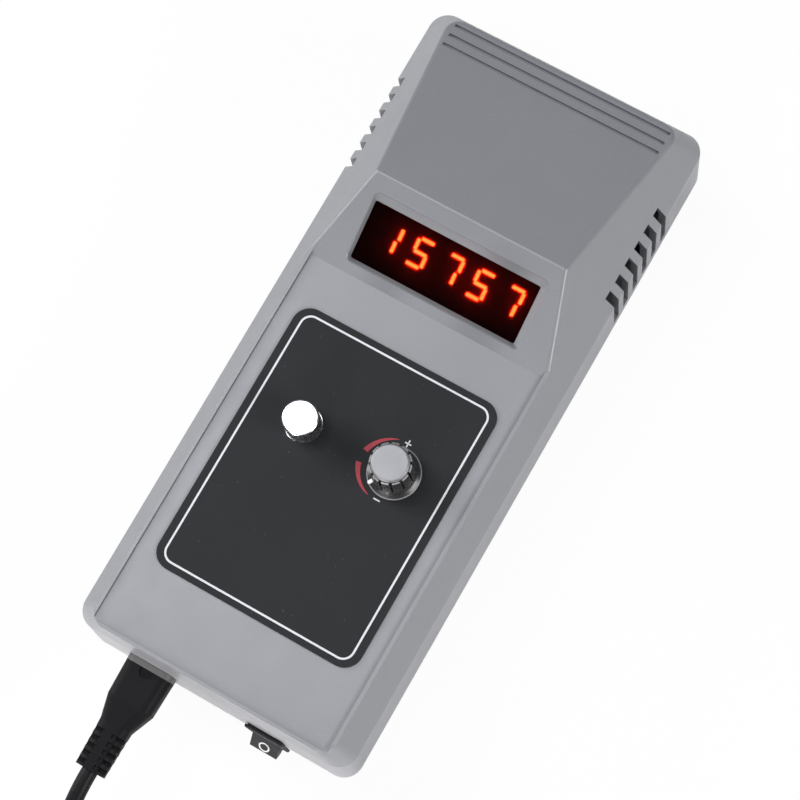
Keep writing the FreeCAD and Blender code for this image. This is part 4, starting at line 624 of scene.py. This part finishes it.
def coil_points():
    """The coil's points and its end: half turns spiral in, climb a layer and spiral out."""
    here = Vector(COIL_START_MM) - Vector((0, CORD_D_MM, 0))
    heading = -1
    points = []
    radii = [INNER_TURN_MM + TURN_PITCH_MM / 2 * step for step in range(HALF_TURNS, 0, -1)]
    halves = [(radius, 0.0) for radius in radii]
    halves += [(INNER_TURN_MM, TURN_PITCH_MM)]
    halves += [(radius, 0.0) for radius in reversed(radii)]
    step_turn = math.pi / POINTS_PER_HALF
    # The curve passes inside its points, which lie further out by this much.
    bulge = 1 / (0.75 + 0.25 * math.cos(step_turn))
    for radius, climb in halves:
        middle = here + Vector((-radius * heading, 0, 0))
        for step in range(POINTS_PER_HALF):
            turn = step_turn * (step + 0.5)
            away = radius * bulge
            points.append((middle.x + away * math.cos(turn) * heading,
                           middle.y + away * math.sin(turn) * heading,
                           middle.z + climb * (step + 0.5) / POINTS_PER_HALF))
        here = here + Vector((-2 * radius * heading, 0, climb))
        heading = -heading
    end = here + Vector((0, heading * CORD_D_MM, 0))
    return points, end


def make_cord(material):
    """One tube along the route and round the coil, in place of the two solids of the cord."""
    points, end = coil_points()
    line = bpy.data.curves.new("mains_cord", "CURVE")
    line.dimensions = "3D"
    line.bevel_depth = CORD_D_MM / 2 * MM
    line.bevel_resolution = 6
    line.resolution_u = 10
    line.use_fill_caps = True
    spline = line.splines.new("NURBS")
    route = ROUTE_MM + points + [tuple(end)]
    spline.points.add(len(route) - 1)
    for point, place in zip(spline.points, route):
        point.co = (*metres(*place), 1)
    spline.order_u = 3
    spline.use_endpoint_u = True
    line.materials.append(material)
    cord = bpy.data.objects.new("mains_cord", line)
    bpy.context.scene.collection.objects.link(cord)
    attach(cord, "case")
    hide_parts("power_cord", "cord_coil")


# Floor, world and lamps

FLOOR_HALF = 6.0
FLOOR_DROP_MM = 0.3
FLOOR_PAPER = (0.86, 0.86, 0.86, 1)
FLOOR_SEEN_LIT = 0.94       # the share of its own white that the camera sees in the paper
WORLD_TINT = (0.95, 0.97, 1.0, 1)
WORLD_LEVEL = 0.04
PURE_WHITE = (1, 1, 1, 1)


def make_floor():
    """White paper, lit by the lamps, that the camera sees nearly blank."""
    corners = [(-FLOOR_HALF, -FLOOR_HALF, 0), (FLOOR_HALF, -FLOOR_HALF, 0),
               (FLOOR_HALF, FLOOR_HALF, 0), (-FLOOR_HALF, FLOOR_HALF, 0)]
    mesh = bpy.data.meshes.new("floor")
    mesh.from_pydata(corners, [], [(0, 1, 2, 3)])
    floor = bpy.data.objects.new("floor", mesh)
    bpy.context.scene.collection.objects.link(floor)
    floor.location.z = -FLOOR_DROP_MM * MM
    material = bpy.data.materials.new("floor_white")
    material.use_nodes = True
    tree = material.node_tree
    for old in list(tree.nodes):
        tree.nodes.remove(old)
    output = tree.nodes.new("ShaderNodeOutputMaterial")
    paper = tree.nodes.new("ShaderNodeBsdfDiffuse")
    paper.inputs["Color"].default_value = FLOOR_PAPER
    shine = tree.nodes.new("ShaderNodeEmission")
    shine.inputs["Color"].default_value = PURE_WHITE
    shine.inputs["Strength"].default_value = 1.0
    rays = tree.nodes.new("ShaderNodeLightPath")
    seen = tree.nodes.new("ShaderNodeMath")
    seen.operation = "MULTIPLY"
    seen.inputs[1].default_value = FLOOR_SEEN_LIT
    mix = tree.nodes.new("ShaderNodeMixShader")
    tree.links.new(rays.outputs["Is Camera Ray"], seen.inputs[0])
    tree.links.new(seen.outputs[0], mix.inputs["Fac"])
    tree.links.new(paper.outputs["BSDF"], mix.inputs[1])
    tree.links.new(shine.outputs["Emission"], mix.inputs[2])
    tree.links.new(mix.outputs["Shader"], output.inputs["Surface"])
    mesh.materials.append(material)


def make_world():
    """A faint even light, with plain white where the camera looks past the floor."""
    world = bpy.data.worlds.new("studio")
    bpy.context.scene.world = world
    world.use_nodes = True
    tree = world.node_tree
    ground = tree.nodes["Background"]
    ground.inputs["Color"].default_value = WORLD_TINT
    ground.inputs["Strength"].default_value = WORLD_LEVEL
    white = tree.nodes.new("ShaderNodeBackground")
    white.inputs["Color"].default_value = PURE_WHITE
    white.inputs["Strength"].default_value = 1.0
    rays = tree.nodes.new("ShaderNodeLightPath")
    either = tree.nodes.new("ShaderNodeMath")
    either.operation = "MAXIMUM"
    mix = tree.nodes.new("ShaderNodeMixShader")
    tree.links.new(rays.outputs["Is Camera Ray"], either.inputs[0])
    tree.links.new(rays.outputs["Is Transmission Ray"], either.inputs[1])
    tree.links.new(either.outputs[0], mix.inputs["Fac"])
    tree.links.new(ground.outputs["Background"], mix.inputs[1])
    tree.links.new(white.outputs["Background"], mix.inputs[2])
    tree.links.new(mix.outputs["Shader"], tree.nodes["World Output"].inputs["Surface"])


CASE_MIDDLE = (0.0, 0.0, 0.04)
END_WALL = (-0.01, -0.1055, 0.02)
WHITE_LIGHT = (1.0, 1.0, 1.0)
COOL_LIGHT = (0.96, 0.98, 1.04)
WARM_LIGHT = (1.0, 0.985, 0.97)
PINK_LIGHT = (1.0, 0.96, 0.955)
WIDE = 180
NARROW = 14

# Name, place, what it faces, size, watts, colour, and spread in degrees
LAMPS = (
    ("overhead", (-0.02, 0.0, 1.1), CASE_MIDDLE, (0.45, 0.45), 1.6, COOL_LIGHT, WIDE),
    ("sheen", (-0.21, 0.20, 1.1), CASE_MIDDLE, (0.5, 0.5), 0.3, WHITE_LIGHT, WIDE),
    ("end_wash", (-0.01, -0.55, 0.07), END_WALL, (0.34, 0.06), 0.09, PINK_LIGHT, NARROW),
    ("overhead_left", (-0.45, 0.05, 1.0), CASE_MIDDLE, (0.45, 0.45), 3.3, COOL_LIGHT, WIDE),
    ("lower_end", (0.0, -1.0, 0.45), CASE_MIDDLE, (0.6, 0.4), 3.3, WARM_LIGHT, WIDE),
    ("low_left", (-1.0, 0.0, 0.45), CASE_MIDDLE, (0.6, 0.4), 7.0, WHITE_LIGHT, WIDE),
    ("low_right", (0.94, 0.0, 0.60), CASE_MIDDLE, (0.6, 0.4), 8.0, WHITE_LIGHT, WIDE),
)


def softbox(name, place, target, size, power, colour, spread):
    """A rectangular lamp that faces its target and that the camera doesn't see."""
    lamp = bpy.data.lights.new(name, "AREA")
    lamp.spread = math.radians(spread)
    lamp.shape = "RECTANGLE"
    lamp.size, lamp.size_y = size
    lamp.energy = power
    lamp.color = colour
    piece = bpy.data.objects.new(name, lamp)
    bpy.context.scene.collection.objects.link(piece)
    piece.visible_camera = False
    piece.location = place
    aim = Vector(target) - Vector(place)
    piece.rotation_euler = aim.to_track_quat("-Z", "Y").to_euler()


def light_scene():
    bpy.context.scene.view_settings.view_transform = "Standard"
    make_world()
    for lamp in LAMPS:
        softbox(*lamp)


def dress_nodes():
    dress_case()
    dress_button()
    dress_knob()
    dress_switches()
    dress_lead()
    dress_display()
    dress_lamp()
    dress_boards()


make_camera()
make_cord(plastic("cord_rubber", BLACK_RUBBER, rough=0.4, grain_mm=0.4, specular=0.15))
make_floor()
light_scene()
dress_nodes()
print_border(paint("ink_white", (0.72, 0.73, 0.75)))
print_dial(paint("ink_red", (0.40, 0.018, 0.035)), paint("ink_sign", (0.60, 0.60, 0.62)))
mark_rocker(paint("rocker_mark_white", (0.55, 0.55, 0.56)))
# The light grey bands on the knob's rim and rib corners are painted highlights.
paint_knob_highlights(paint("knob_rim_highlight_paint", (0.20, 0.20, 0.205), rough=0.4),
          paint("knob_corner_grey", (0.30, 0.30, 0.305), rough=0.4))
